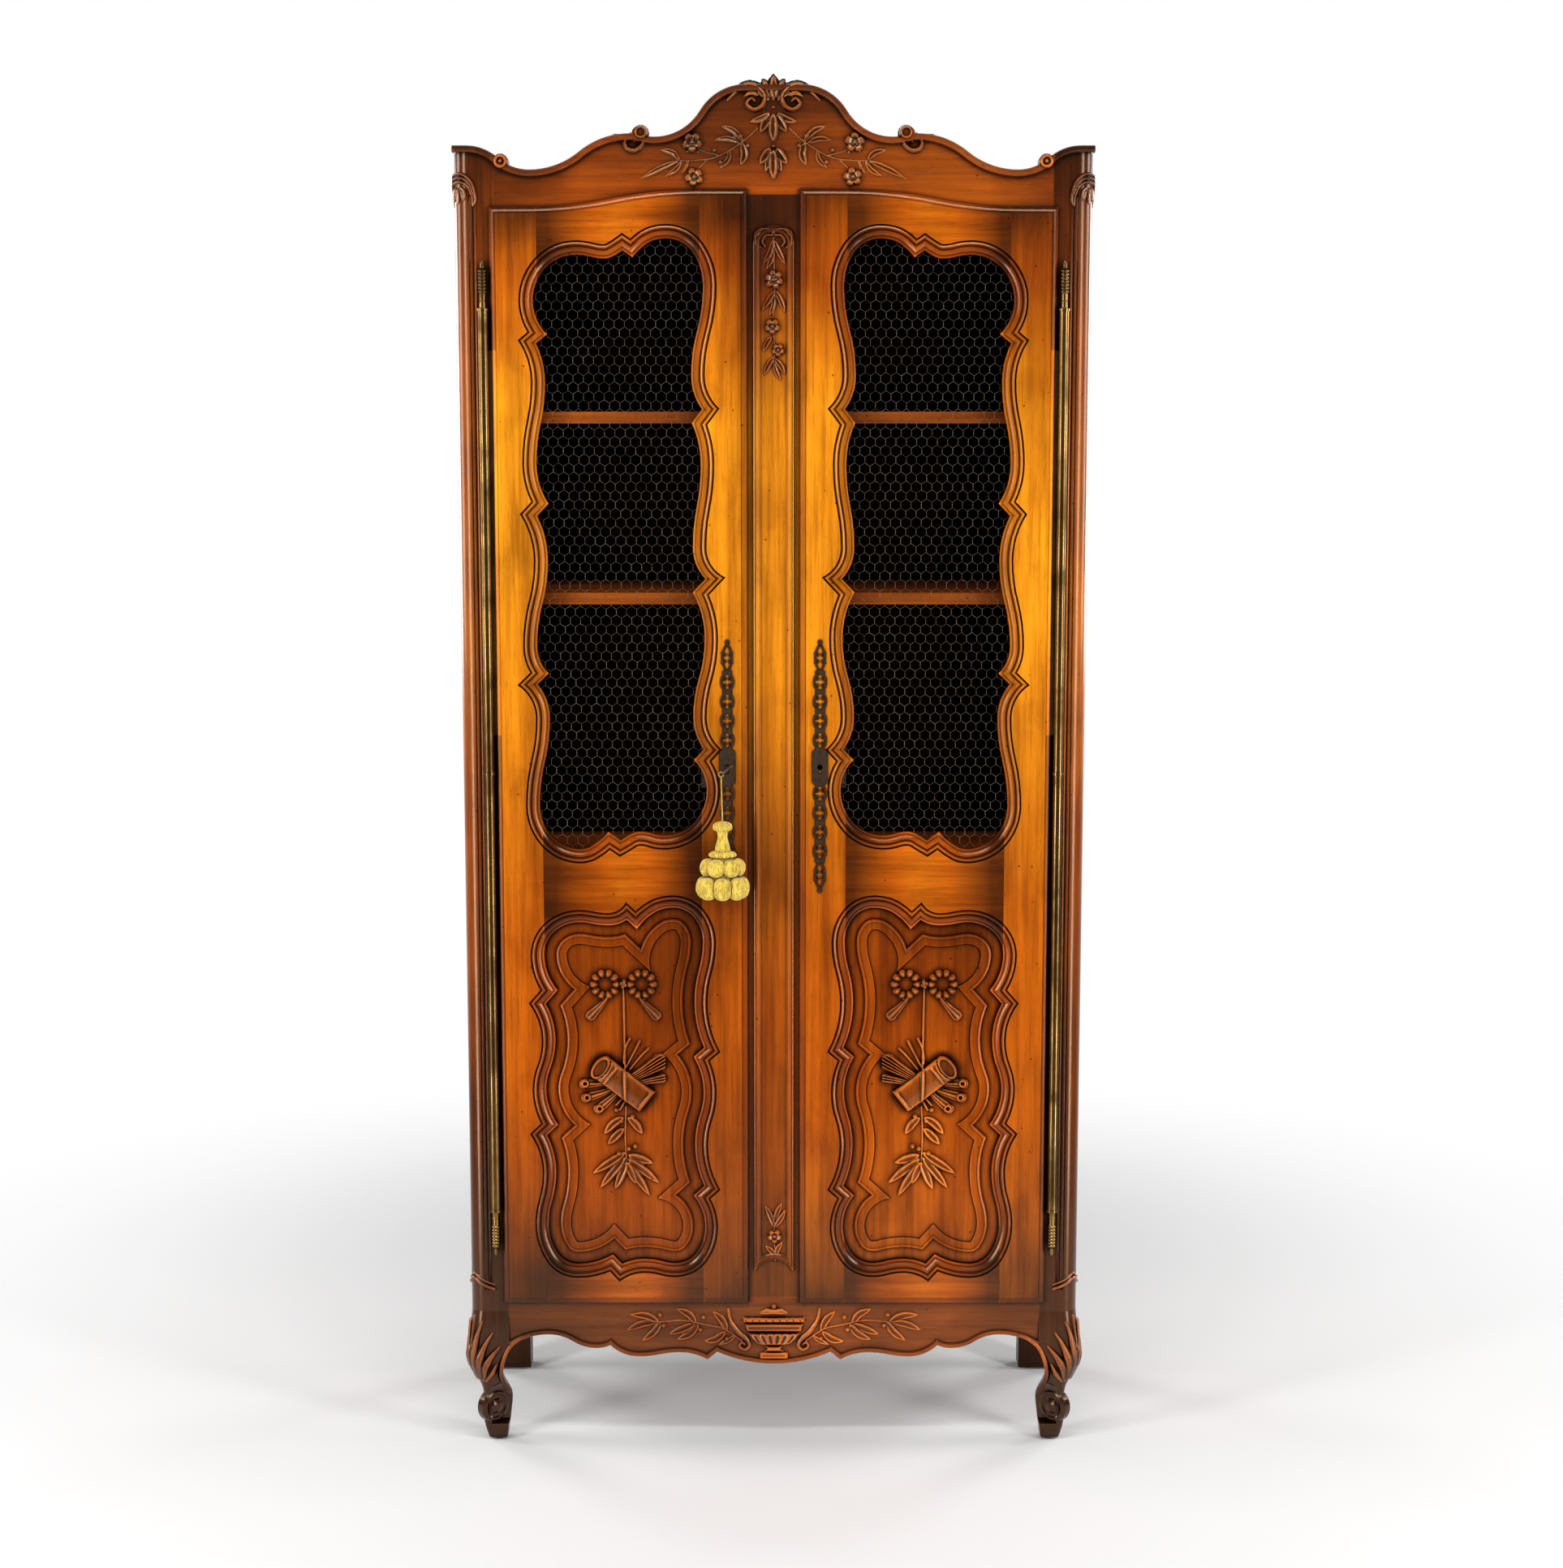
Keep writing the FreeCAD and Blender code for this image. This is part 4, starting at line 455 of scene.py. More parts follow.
class Relief:
    """A patch of carving drawn in two directions along a face."""

    def __init__(self, left, low, right, high, step=STEP):
        self.x = np.arange(left, right, step)
        self.z = np.arange(low, high, step)
        self.height = np.full((len(self.z), len(self.x)), SUNK)

    def window(self, left, low, right, high):
        """The part of the patch between two corners."""
        i0, i1 = np.searchsorted(self.x, (left, right))
        j0, j1 = np.searchsorted(self.z, (low, high))
        across, up = np.meshgrid(self.x[i0:i1], self.z[j0:j1])
        return (slice(j0, j1), slice(i0, i1)), across, up

    def around(self, x, z, reach):
        """The part of the patch about a point, with the distances from that point."""
        rows, across, up = self.window(x - reach, z - reach, x + reach, z + reach)
        return rows, across - x, up - z

    def raise_to(self, rows, height, inside):
        """Keeps the higher of what is there and a form with a sloping edge."""
        height = np.where(inside > 0, np.minimum(height, EDGE_SLOPE * inside), EDGE_SLOPE * inside)
        self.height[rows] = np.maximum(self.height[rows], height)

    def near(self, points, reach):
        """The part of a line that is nearest to each place: how far along, how far off and on which side."""
        line = smooth_line(points)
        low, high = line.min(axis=0) - reach, line.max(axis=0) + reach
        rows, across, up = self.window(low[0], low[1], high[0], high[1])
        dx, dz = across[..., None] - line[:, 0], up[..., None] - line[:, 1]
        nearest = np.argmin(dx * dx + dz * dz, axis=2)
        way = np.gradient(line, axis=0)
        way /= np.linalg.norm(way, axis=1)[:, None]
        ox, oz = across - line[nearest, 0], up - line[nearest, 1]
        side = way[nearest, 0] * oz - way[nearest, 1] * ox
        off = np.hypot(ox, oz)
        length = np.concatenate([[0], np.cumsum(np.linalg.norm(np.diff(line, axis=0), axis=1))])
        return rows, length[nearest] / length[-1], off, side

    def ridge(self, points, width, height, twist=0, over=False):
        """A rounded strand. Half width and height are given at the start, middle and end. A strand that lies
        over other forms is added to their height."""
        rows, t, off, side = self.near(points, max(width) + MARGIN)
        wide = np.interp(t, (0, 0.5, 1), width)
        tall = np.interp(t, (0, 0.5, 1), height)
        form = tall * np.sqrt(np.clip(1 - (off / wide) ** 2, 0, 1))
        if twist:
            wave = np.cos(2 * math.pi * (t * twist + 0.15 * side / wide))
            form *= 1 - TWIST_DEPTH / 2 + TWIST_DEPTH / 2 * wave
        if over:
            self.height[rows] += np.where(off < wide, form, 0)
        else:
            self.raise_to(rows, form, wide - off)

    def leaf(self, points, width, height, hollow=0.62):
        """A leaf from its stem to its tip, hollow between raised edges."""
        rows, t, off, side = self.near(points, width + MARGIN)
        wide = width * np.clip(1.1 * np.sin(math.pi * np.clip(t, 0, 1) ** 0.85) ** 0.62, 0.05, 1.05)
        part = np.clip(off / wide, 0, 1.2)
        form = height * (1 - hollow + hollow * part ** 2 + 0.2 * side / wide)
        form *= np.interp(t, (0, 0.35, 1), (0.75, 1.0, 0.75))
        self.raise_to(rows, form, wide - off)

    def frond(self, points, width, height, flutes):
        """A fluted acanthus strap with grooves along it."""
        rows, t, off, side = self.near(points, max(width) + MARGIN)
        wide = np.interp(t, (0, 0.5, 1), width)
        tall = np.interp(t, (0, 0.5, 1), height)
        part = side / wide
        rounded = 0.55 + 0.45 * np.sqrt(np.clip(1 - part ** 2, 0, 1))
        fluted = 0.72 + 0.28 * np.cos(math.pi * flutes * part)
        self.raise_to(rows, tall * rounded * fluted, wide - off)

    def berry(self, x, z, radius, height, hole=0):
        """A round berry, with a dimple where the depth of a hole is given."""
        rows, across, up = self.around(x, z, radius + MARGIN)
        off = np.hypot(across, up)
        form = height * np.sqrt(np.clip(1.02 - (off / radius) ** 2, 0, 1))
        form -= hole * np.exp(-(off / (0.28 * radius)) ** 2)
        self.raise_to(rows, form, radius - off)

    def flower(self, x, z, radius, height, petals=5, turn=0.3):
        """A flower of cupped petals round a button."""
        rows, across, up = self.around(x, z, radius + MARGIN)
        off = np.hypot(across, up)
        petal = np.abs(np.cos(petals * (np.arctan2(up, across) + turn) / 2))
        edge = radius * (0.66 + 0.34 * petal ** 0.6)
        cup = np.clip(off / edge, 0, 1)
        form = height * (0.35 + 0.65 * np.sin(math.pi * cup ** 1.4 * 0.72)) * (0.55 + 0.45 * petal ** 0.5)
        button = height * 1.05 * np.sqrt(np.clip(1 - (off / (0.27 * radius)) ** 2, 0, 1))
        self.raise_to(rows, np.maximum(form, button), edge - off)

    def ring(self, x, z, radius, wide, height, squeeze=1.0, tilt=0.0, bed=0.3):
        """A raised ring round a sunk middle, squeezed along one direction where it is seen from the side."""
        rows, across, up = self.around(x, z, radius + wide + MARGIN)
        along = (across * math.cos(tilt) + up * math.sin(tilt)) / squeeze
        off = np.hypot(along, up * math.cos(tilt) - across * math.sin(tilt))
        form = height * np.sqrt(np.clip(1 - ((off - radius) / wide) ** 2, 0.06, 1))
        form = np.where(off < radius, np.maximum(form, bed * height), form)
        self.height[rows] = np.where(off < radius + wide, form, self.height[rows])

    def barrel(self, start, end, radius, height, hoops):
        """A round drum between two points, with hoops at the given shares of its length."""
        start, end = np.array(start, float), np.array(end, float)
        length = np.linalg.norm(end - start)
        way = (end - start) / length
        reach = radius + MARGIN
        low, high = np.minimum(start, end) - reach, np.maximum(start, end) + reach
        rows, across, up = self.window(low[0], low[1], high[0], high[1])
        along = (across - start[0]) * way[0] + (up - start[1]) * way[1]
        side = (up - start[1]) * way[0] - (across - start[0]) * way[1]
        form = DRUM_RIM + (height - DRUM_RIM) * np.sqrt(np.clip(1 - (side / radius) ** 2, 0, 1))
        for hoop in hoops:
            form += HOOP_HIGH * np.exp(-((along - hoop * length) / HOOP_WIDE) ** 2)
        inside = np.minimum(radius - np.abs(side), np.minimum(along, length - along))
        self.raise_to(rows, form, DRUM_SLOPE * inside)

    def slab(self, outline, form):
        """A shape between two edges: rows of height, left and right, with its form given as a function."""
        low, high = min(row[0] for row in outline), max(row[0] for row in outline)
        wide = max(abs(value) for row in outline for value in row[1:])
        rows, across, up = self.window(-wide - MARGIN, low - MARGIN, wide + MARGIN, high + MARGIN)
        levels = [row[0] for row in outline]
        left = np.interp(up, levels, [row[1] for row in outline])
        right = np.interp(up, levels, [row[2] for row in outline])
        inside = np.minimum(np.minimum(across - left, right - across), np.minimum(up - low, high - up))
        self.raise_to(rows, form(across, up, left, right), inside)


def soften(field, times):
    """The field with small forms blurred away."""
    for _ in range(times):
        padded = np.pad(field, 1, mode="edge")
        field = (padded[:-2, 1:-1] + padded[2:, 1:-1] + padded[1:-1, :-2] + padded[1:-1, 2:] + 2 * field) / 6
    return field


def link(name, mesh):
    """An object of a mesh, put into the scene."""
    made = bpy.data.objects.new(name, mesh)
    bpy.context.scene.collection.objects.link(made)
    return made


# For each side of a cell: the step to the cell beside it, and the two corners that they share.
CELL_SIDES = (((-1, 0), (0, 1)), ((0, 1), (1, 2)), ((1, 0), (2, 3)), ((0, -1), (3, 0)))


def carve(name, relief, body, place, finish):
    """Makes a closed mesh of a relief, laid on a face by a function of two directions and a height."""
    field = np.maximum(soften(relief.height, 1), SUNK)
    keep = field > SUNK + 0.05
    cells = keep[:-1, :-1] | keep[1:, :-1] | keep[:-1, 1:] | keep[1:, 1:]
    for _ in range(3):
        pinch = cells[:-1, :-1] & cells[1:, 1:] & ~cells[:-1, 1:] & ~cells[1:, :-1]
        cells[:-1, 1:] |= pinch
        pinch = cells[:-1, 1:] & cells[1:, :-1] & ~cells[:-1, :-1] & ~cells[1:, 1:]
        cells[:-1, :-1] |= pinch
    rows, columns = field.shape
    used = np.zeros(field.shape, bool)
    for dz in (0, 1):
        for dx in (0, 1):
            used[dz:rows - 1 + dz, dx:columns - 1 + dx] |= cells
    index = np.full(field.shape, -1)
    count = int(used.sum())
    index[used] = np.arange(count)
    across, up = np.meshgrid(relief.x, relief.z)
    top = place(across[used], up[used], field[used])
    low = place(across[used], up[used], np.full(count, -BACK))
    corners = [index[:-1, :-1][cells], index[:-1, 1:][cells], index[1:, 1:][cells], index[1:, :-1][cells]]
    faces = [np.stack(corners, axis=1), np.stack(corners[::-1], axis=1) + count]
    padded = np.pad(cells, 1)
    for (dz, dx), (first, second) in CELL_SIDES:
        beside = padded[1 + dz:rows + dz, 1 + dx:columns + dx]
        edge = cells & ~beside
        ends = [corner[edge[cells]] for corner in (corners[first], corners[second])]
        faces.append(np.stack([ends[1], ends[0], ends[0] + count, ends[1] + count], axis=1))
    mesh = bpy.data.meshes.new(name)
    mesh.from_pydata(np.vstack([top, low]).tolist(), [], np.vstack(faces).tolist())
    mesh.update()
    # A value per corner, high on ridges and low in hollows, for rubbing with a painted highlight and patina
    # with painted shade.
    wear_and_painted_light = mesh.attributes.new("wear_and_painted_light", "FLOAT", "POINT")
    ridge = np.clip(0.5 + (field - soften(field, WEAR_AND_LIGHT_BLUR)) / WEAR_AND_LIGHT_RANGE, 0, 1)
    wear_and_painted_light.data.foreach_set("value", np.concatenate([ridge[used], np.zeros(count)]).astype(np.float32))
    mesh.polygons.foreach_set("use_smooth", np.ones(len(mesh.polygons), bool))
    mesh.materials.append(finish)
    made = link(name, mesh)
    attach(made, body)


def on_face(y, side=1):
    """Lays a relief on an upright face at a depth in millimetres, mirrored where side is -1."""
    def place(across, up, height):
        return np.stack([side * across, y - height, up], axis=-1) * MM
    return place


POST_FACE = -175
CENTRE_FACE = -177.5
FIELD_FACE = -173.5


def twice(draw):
    """Draws a form on the left and its mirror image on the right."""
    draw(1)
    draw(-1)


def turned(points, side):
    """Points mirrored to the other side where side is -1."""
    return [(side * x, z) for x, z in points]


# Crest: palmette, scrolls, two bell flowers and a flowering branch on each side.
crest = Relief(-256, 2000, 256, 2176)


def crest_half(side):
    def leaf(points, width, height):
        crest.leaf(turned(points, side), width, height)

    def ridge(points, width, height):
        crest.ridge(turned(points, side), width, height)

    crest.frond(turned([(-70, 2136), (-54, 2151), (-38, 2158), (-22, 2153), (-13, 2141), (-18, 2127),
                        (-30, 2122), (-40, 2130), (-34, 2138), (-28, 2134)], side),
                (3, 6.5, 3.5), (8, 14, 10), 2)
    leaf([(-20, 2142), (-34, 2146), (-46, 2140)], 5, 12)
    leaf([(-4, 2138), (-9, 2152), (-16, 2165)], 7, 14)
    leaf([(-6, 2134), (-18, 2146), (-27, 2159)], 6.5, 13)
    leaf([(-4, 2113), (-12, 2101), (-20, 2087)], 7.5, 9)
    leaf([(-5, 2116), (-20, 2107), (-36, 2103)], 6, 7.5)
    leaf([(-4, 2064), (-12, 2052), (-21, 2040)], 7.5, 9)
    leaf([(-3, 2056), (-8, 2042), (-12, 2028)], 5.5, 8)
    ridge([(-24, 2094), (-48, 2073), (-83, 2052), (-112, 2046), (-145, 2045)], (1.2, 1.8, 1.2), (2.2, 2.8, 2))
    ridge([(-83, 2053), (-104, 2058), (-122, 2066)], (1.4, 1.4, 1.2), (2.4, 2.2, 2))
    ridge([(-100, 2047), (-112, 2036), (-120, 2026)], (1.3, 1.3, 1.2), (2.2, 2.2, 2))
    leaf([(-46, 2075), (-62, 2090), (-80, 2097)], 5.5, 5.5)
    leaf([(-52, 2072), (-70, 2078), (-90, 2076)], 5, 5)
    leaf([(-48, 2072), (-44, 2055), (-50, 2038)], 6.5, 6)
    leaf([(-66, 2060), (-70, 2046), (-82, 2034)], 4.5, 4.5)
    leaf([(-143, 2046), (-154, 2057), (-173, 2062)], 5, 4.5)
    leaf([(-145, 2045), (-172, 2034), (-203, 2018)], 5, 4.5)
    leaf([(-140, 2044), (-150, 2031), (-166, 2022)], 4.5, 4.5)
    leaf([(-130, 2046), (-134, 2034), (-140, 2026)], 3, 3.5)
    for x, z, radius in ((-50, 2082, 4.5), (-39, 2068, 4.2), (-90, 2061, 4), (-81, 2043, 4),
                         (-131, 2059, 2.6), (-115, 2058, 2.6)):
        crest.berry(side * x, z, radius, 1.15 * radius, hole=0.8)
    crest.flower(side * -124, 2073, 17, 7.5, turn=side * 0.3)
    crest.flower(side * -121, 2021, 15.5, 7.5, turn=side * 0.5)
    crest.frond(turned([(-196, 2086), (-200, 2070), (-211, 2061), (-223, 2064), (-226, 2075), (-217, 2081),
                        (-211, 2074)], side), (4.5, 5.5, 3.5), (9, 12, 9), 2)
    leaf([(-226, 2078), (-240, 2080), (-252, 2074)], 3.5, 10)
    crest.ring(side * -202, 2087, 7.5, 3.2, 13)
    crest.berry(side * -202, 2087, 4.6, 13)


twice(crest_half)
crest.leaf([(0, 2136), (0, 2172)], 8, 15)
crest.berry(0, 2138, 5, 13)
crest.berry(0, 2125, 3.8, 7)
crest.leaf([(0, 2116), (0, 2072)], 9, 11, hollow=0.4)
crest.berry(0, 2067, 4, 6.5)
crest.leaf([(0, 2062), (0, 2016)], 9, 11, hollow=0.4)
carve("crest_carving", crest, "case", on_face(POST_FACE), carved_top)
VOLUTE_FACE = -184
VOLUTE_X, VOLUTE_Z, VOLUTE_REACH = -416, 2044, 14
volute = Relief(VOLUTE_X - VOLUTE_REACH, VOLUTE_Z - VOLUTE_REACH,
                VOLUTE_X + VOLUTE_REACH, VOLUTE_Z + VOLUTE_REACH, 0.6)
volute.ring(VOLUTE_X, VOLUTE_Z, 7.6, 2.8, 3.5)
volute.berry(VOLUTE_X, VOLUTE_Z, 4.4, 4.5)
for side, word in SIDES:
    carve("crest_button_" + word, volute, "case", on_face(VOLUTE_FACE, side), carved_x)

# Apron: an urn between scrolls and olive branches.
apron = Relief(-245, 142, 245, 242)


def apron_half(side):
    def leaf(points, width=6.5, height=5):
        apron.leaf(turned(points, side), width, height)

    apron.frond(turned([(-74, 231), (-70, 212), (-58, 193), (-45, 181), (-40, 170), (-47, 163), (-55, 168),
                        (-52, 175), (-47, 172)], side), (3, 5, 3), (4, 6, 6), 3)
    apron.ridge(turned([(-52, 178), (-81, 197), (-110, 204), (-146, 211), (-190, 208)], side),
                (1.8, 1.8, 1.2), (3, 3, 2))
    leaf([(-76, 194), (-84, 212), (-99, 227)])
    leaf([(-78, 193), (-94, 180), (-113, 176)])
    leaf([(-62, 186), (-74, 178), (-90, 170)], 4.5)
    leaf([(-126, 207), (-138, 222), (-157, 231)])
    leaf([(-128, 206), (-148, 197), (-170, 188)])
    leaf([(-122, 205), (-136, 189), (-157, 179)])
    leaf([(-186, 209), (-206, 219), (-233, 221)])
    leaf([(-190, 208), (-212, 206), (-238, 195)])
    leaf([(-182, 209), (-194, 192), (-213, 177)])
    for x, z in ((-76, 181), (-114, 217), (-119, 196), (-184, 221), (-178, 203)):
        apron.berry(side * x, z, 4.6, 5)


twice(apron_half)
apron.berry(0, 235, 5, 6)
apron.slab([(220, -29, 29), (233, -13, 13)], lambda x, z, left, right: 6 - 0.012 * x * x)
apron.slab([(207, -51, 51), (218, -51, 51)],
           lambda x, z, left, right: 6.5 - 2.6 * np.exp(-(((x + 0.5 * z) % 11.0 - 5.5) / 1.1) ** 2))
apron.slab([(192, -45, 45), (207, -48, 48)], lambda x, z, left, right: 4.5 + 1.2 * ((z - 199.5) / 7) ** 2)
apron.slab([(169, -16, 16), (174, -29, 29), (182, -38, 38), (192, -44, 44)],
           lambda x, z, left, right: 4.5 + 3 * np.abs(np.cos(6.5 * math.pi * x / (right - left))))
apron.slab([(159, -18, 18), (164, -12, 12), (170, -15, 15)], lambda x, z, left, right: 6 - 0.01 * x * x)
apron.slab([(146, -24, 24), (157, -24, 24), (160, -19, 19)], lambda x, z, left, right: 5 + 0 * x)
carve("apron_carving", apron, "case", on_face(POST_FACE), carved_x)

# Centre post: a festoon under two fluted curls, and a small flower at the foot.
festoon = Relief(-32, 1706, 32, 1946, 0.7)


def curls(side):
    festoon.frond(turned([(-1, 1940), (-14, 1943), (-26, 1934), (-27, 1920), (-20, 1915)], side),
                  (3, 5, 3), (6, 8, 6), 3)
    festoon.frond(turned([(-2, 1934), (-12, 1933), (-17, 1924), (-13, 1917)], side),
                  (2.5, 4, 2.5), (5, 7, 5), 3)


twice(curls)
festoon.berry(0, 1938, 5, 9, hole=1)
for points, width in (([(0, 1928), (-5, 1908), (-16, 1890)], 5), ([(1, 1926), (9, 1908), (18, 1889)], 5),
                      ([(1, 1912), (-3, 1897), (-11, 1881)], 4.5), ([(2, 1850), (-8, 1834), (-18, 1819)], 5),
                      ([(3, 1850), (12, 1834), (18, 1816)], 5), ([(2, 1840), (-1, 1824), (-7, 1811)], 4.5),
                      ([(-3, 1781), (-10, 1770), (-16, 1757)], 5), ([(0, 1750), (-8, 1736), (-15, 1721)], 5),
                      ([(1, 1748), (11, 1737), (18, 1722)], 5), ([(1, 1740), (5, 1726), (12, 1713)], 4.5)):
    festoon.leaf(points, width, 5.5)
festoon.ridge([(0, 1930), (1, 1890), (2, 1840), (-1, 1800), (2, 1760), (0, 1740)], (1.6, 1.6, 1.4), (3, 3, 3))
festoon.flower(1, 1867, 16, 7.5, 6)
festoon.flower(1, 1868, 8, 9.5, 3)
festoon.flower(-2, 1796, 13.5, 7)
festoon.flower(7, 1760, 11.5, 7)
carve("centre_festoon", festoon, "case", on_face(CENTRE_FACE), carved_z)
posy = Relief(-24, 306, 26, 414, 0.7)
for points in ([(0, 368), (-6, 386), (-14, 404)], [(1, 368), (11, 382), (19, 397)],
               [(1, 378), (6, 394), (13, 408)], [(2, 318), (-4, 328), (-14, 337)],
               [(2, 318), (6, 332), (14, 344)]):
    posy.leaf(points, 5, 5.5)
posy.ridge([(1, 375), (1, 345), (2, 312)], (1.4, 1.6, 1.2), (3, 3, 2.5))
posy.flower(1, 353, 13, 7)
carve("centre_posy", posy, "case", on_face(CENTRE_FACE), carved_z)

# Door panels: a ribbon bow, a pole, a drum with pipes and trumpet, and an olive sprig.
trophy = Relief(-312, 412, -172, 800)
BOW_X, BOW_Z = -239, 765
BOW_LOOP_OUT, BOW_LOOP_RADIUS = 29, 18
RUFFLES, RUFFLE_RADIUS, RUFFLE_HIGH = 10, 7.4, 9.5
DRUM_TOP, DRUM_FOOT, DRUM_HEAD = (-277, 632), (-201, 573), (-276, 631)
DRUM_RADIUS, DRUM_HEAD_RADIUS, DRUM_HIGH = 21.5, 18.5, 15
DRUM_HOOPS = (0.22, 0.93)
DRUM_TURN = math.atan2(-58, 75)


def bow_loop(side):
    for ruffle in range(RUFFLES):
        turn = 2 * math.pi * ruffle / RUFFLES
        out = BOW_LOOP_OUT + BOW_LOOP_RADIUS * math.cos(turn)
        trophy.berry(BOW_X + side * out, BOW_Z + BOW_LOOP_RADIUS * math.sin(turn), RUFFLE_RADIUS, RUFFLE_HIGH)
    tail = [(BOW_X + side * x, z) for x, z in ((24, 746), (36, 731), (52, 714))]
    trophy.frond(tail, (4, 6, 9), (6, 7.5, 6), 2)


twice(bow_loop)
trophy.flower(BOW_X, BOW_Z, 9, 10, 4)
trophy.ridge([(-239, 756), (-238, 690), (-237, 620)], (2.4, 2.4, 2.4), (6, 6, 6), twist=16)
for points in ([(-236, 630), (-224, 652), (-214, 672)], [(-230, 626), (-212, 648), (-200, 660)],
               [(-240, 636), (-237, 660), (-230, 676)]):
    trophy.ridge(points, (2.6, 2.6, 3.2), (6, 6, 5))
trophy.frond([(-236, 606), (-212, 620), (-182, 638)], (8, 10, 15), (7, 8, 8), 6)
trophy.frond([(-240, 600), (-208, 606), (-178, 612)], (5, 6, 9), (6, 6, 7), 4)
for points in ([(-262, 604), (-284, 604), (-303, 603)], [(-258, 594), (-280, 586), (-300, 580)],
               [(-250, 588), (-268, 572), (-280, 562)]):
    trophy.frond(points, (5, 7, 9), (6, 7.5, 8), 2)
    trophy.ring(points[-1][0] + 2, points[-1][1] + 1, 4.5, 2.8, 8)
trophy.barrel(DRUM_TOP, DRUM_FOOT, DRUM_RADIUS, DRUM_HIGH, DRUM_HOOPS)
trophy.ring(*DRUM_HEAD, DRUM_HEAD_RADIUS, 3.2, DRUM_HIGH, squeeze=0.55, tilt=DRUM_TURN, bed=0.8)
trophy.ridge([(-238, 640), (-237.5, 606), (-237, 572)], (2.2, 2.2, 2.2), (3, 3.5, 3), over=True)
for points in ([(-252, 568), (-240, 582)], [(-246, 560), (-236, 578)]):
    trophy.ridge(points, (2.8, 2.8, 2.8), (6, 6, 6))
trophy.ridge([(-236, 566), (-238, 520), (-236, 470)], (1.6, 1.8, 1.2), (3.5, 3.5, 2.5))
for points in ([(-240, 548), (-256, 538), (-272, 520)], [(-234, 548), (-222, 538), (-210, 520)],
               [(-240, 530), (-252, 518), (-266, 503)], [(-238, 490), (-262, 474), (-291, 455)],
               [(-238, 482), (-258, 458), (-279, 431)], [(-236, 474), (-246, 450), (-255, 429)],
               [(-236, 474), (-228, 456), (-221, 438)], [(-234, 486), (-214, 480), (-193, 472)],
               [(-234, 480), (-210, 462), (-183, 439)], [(-234, 474), (-216, 446), (-199, 418)]):
    trophy.leaf(points, 7.2, 7, hollow=0.5)
for x, z in ((-244, 542), (-226, 549), (-248, 488), (-232, 496), (-222, 500), (-252, 560)):
    trophy.berry(x, z, 4.8, 6)
for side, word in SIDES:
    carve("panel_trophy_" + word, trophy, word + "_door", on_face(FIELD_FACE, side), carved_z)

# Carving that goes round the outer corner of a post or leg, drawn from the corner along both faces.
HALF_WIDTH = 490
# Levels of the leg, upwards: height, how far it stands in from the post's faces, and its corner's radius.
LEG = ((83, 16, 10), (95, 13.5, 11), (108, 8.5, 12), (121, 4, 14), (135, -1, 16), (146, -3, 18),
       (159, -3.2, 20), (172, -3.2, 22), (200, -2, 25), (226, 0, 26))
leg_levels, leg_insets, leg_corners = zip(*LEG)


def round_corner(side, inset_at, radius_at):
    """Lays a relief round the corner. Distances along the section count from the middle of the corner."""
    def place(along, up, height):
        inset, radius = inset_at(up), radius_at(up)
        turn = np.clip(along / radius, -math.pi / 4, math.pi / 4)
        past = along - turn * radius
        angle = math.pi / 4 - turn
        reach = radius + height
        x = -HALF_WIDTH + inset + radius - reach * np.sin(angle) + np.where(past > 0, past, 0)
        y = POST_FACE + inset + radius - reach * np.cos(angle) - np.where(past < 0, past, 0)
        return np.stack([side * x, y, up], axis=-1) * MM
    return place


CORNER_RADIUS = 26
knee = Relief(-50, 92, 50, 224, 0.8)


def knee_half(side):
    for points, width in (([(2, 112), (4, 150), (8, 184), (14, 208)], (4, 7, 3)),
                          ([(5, 110), (11, 140), (21, 170), (32, 190)], (4, 8, 3)),
                          ([(8, 108), (18, 130), (31, 150), (45, 168)], (4, 8, 3)),
                          ([(11, 106), (21, 116), (30, 126), (39, 138)], (3.5, 6, 3))):
        knee.ridge(turned(points, side), width, (4, 7.5, 4))


twice(knee_half)
knee.ridge([(0, 112), (0, 165), (0, 216)], (2.5, 4, 2.5), (4, 6, 5))
curl = Relief(-36, 1972, 36, 2038, 0.8)


def curl_half(side):
    for grow in (0, 6, 12):
        line = [(0, 2014 + grow), (11, 2012 + grow), (19 + grow / 3, 2004 + 0.7 * grow),
                (23 + grow / 2, 1994)]
        curl.ridge(turned(line, side), (3, 3.2, 2.6), (5, 6.5, 5))
    curl.leaf(turned([(24, 2000), (27, 1988), (25, 1976)], side), 4.5, 6)
    curl.leaf(turned([(4, 2006), (10, 1998), (10, 1984)], side), 5, 6)


twice(curl_half)
curl.leaf([(0, 2006), (0, 1980)], 5, 6)
stop = Relief(-38, 254, 38, 294, 0.8)
STOP_LINE = ((-34, 264), (-23, 268), (-11, 274), (0, 281), (11, 274), (23, 268), (34, 264))
for up, wide in ((0, 3.4), (7, 2)):
    stop.ridge([(x, z + up) for x, z in STOP_LINE], (wide,) * 3, (wide + 0.4,) * 3)
around_leg = (lambda up: np.interp(up, leg_levels, leg_insets),
              lambda up: np.interp(up, leg_levels, leg_corners))
around_post = (lambda up: 0 * up, lambda up: CORNER_RADIUS + 0 * up)
for side, word in SIDES:
    carve("knee_leaf_" + word, knee, "case", round_corner(side, *around_leg), carved_low)
    carve("post_curl_" + word, curl, "case", round_corner(side, *around_post), carved_low)
    carve("post_stop_" + word, stop, "case", round_corner(side, *around_post), carved_low)


# Round strands swept along lines of points.
def across_line(line):
    """Two directions at each point of a line, square to the line and to each other."""
    way = np.gradient(line, axis=0)
    way /= np.linalg.norm(way, axis=1)[:, None]
    first = np.cross(way, [0.0, 1.0, 0.0])
    first /= np.linalg.norm(first, axis=1)[:, None]
    return first, np.cross(way, first)


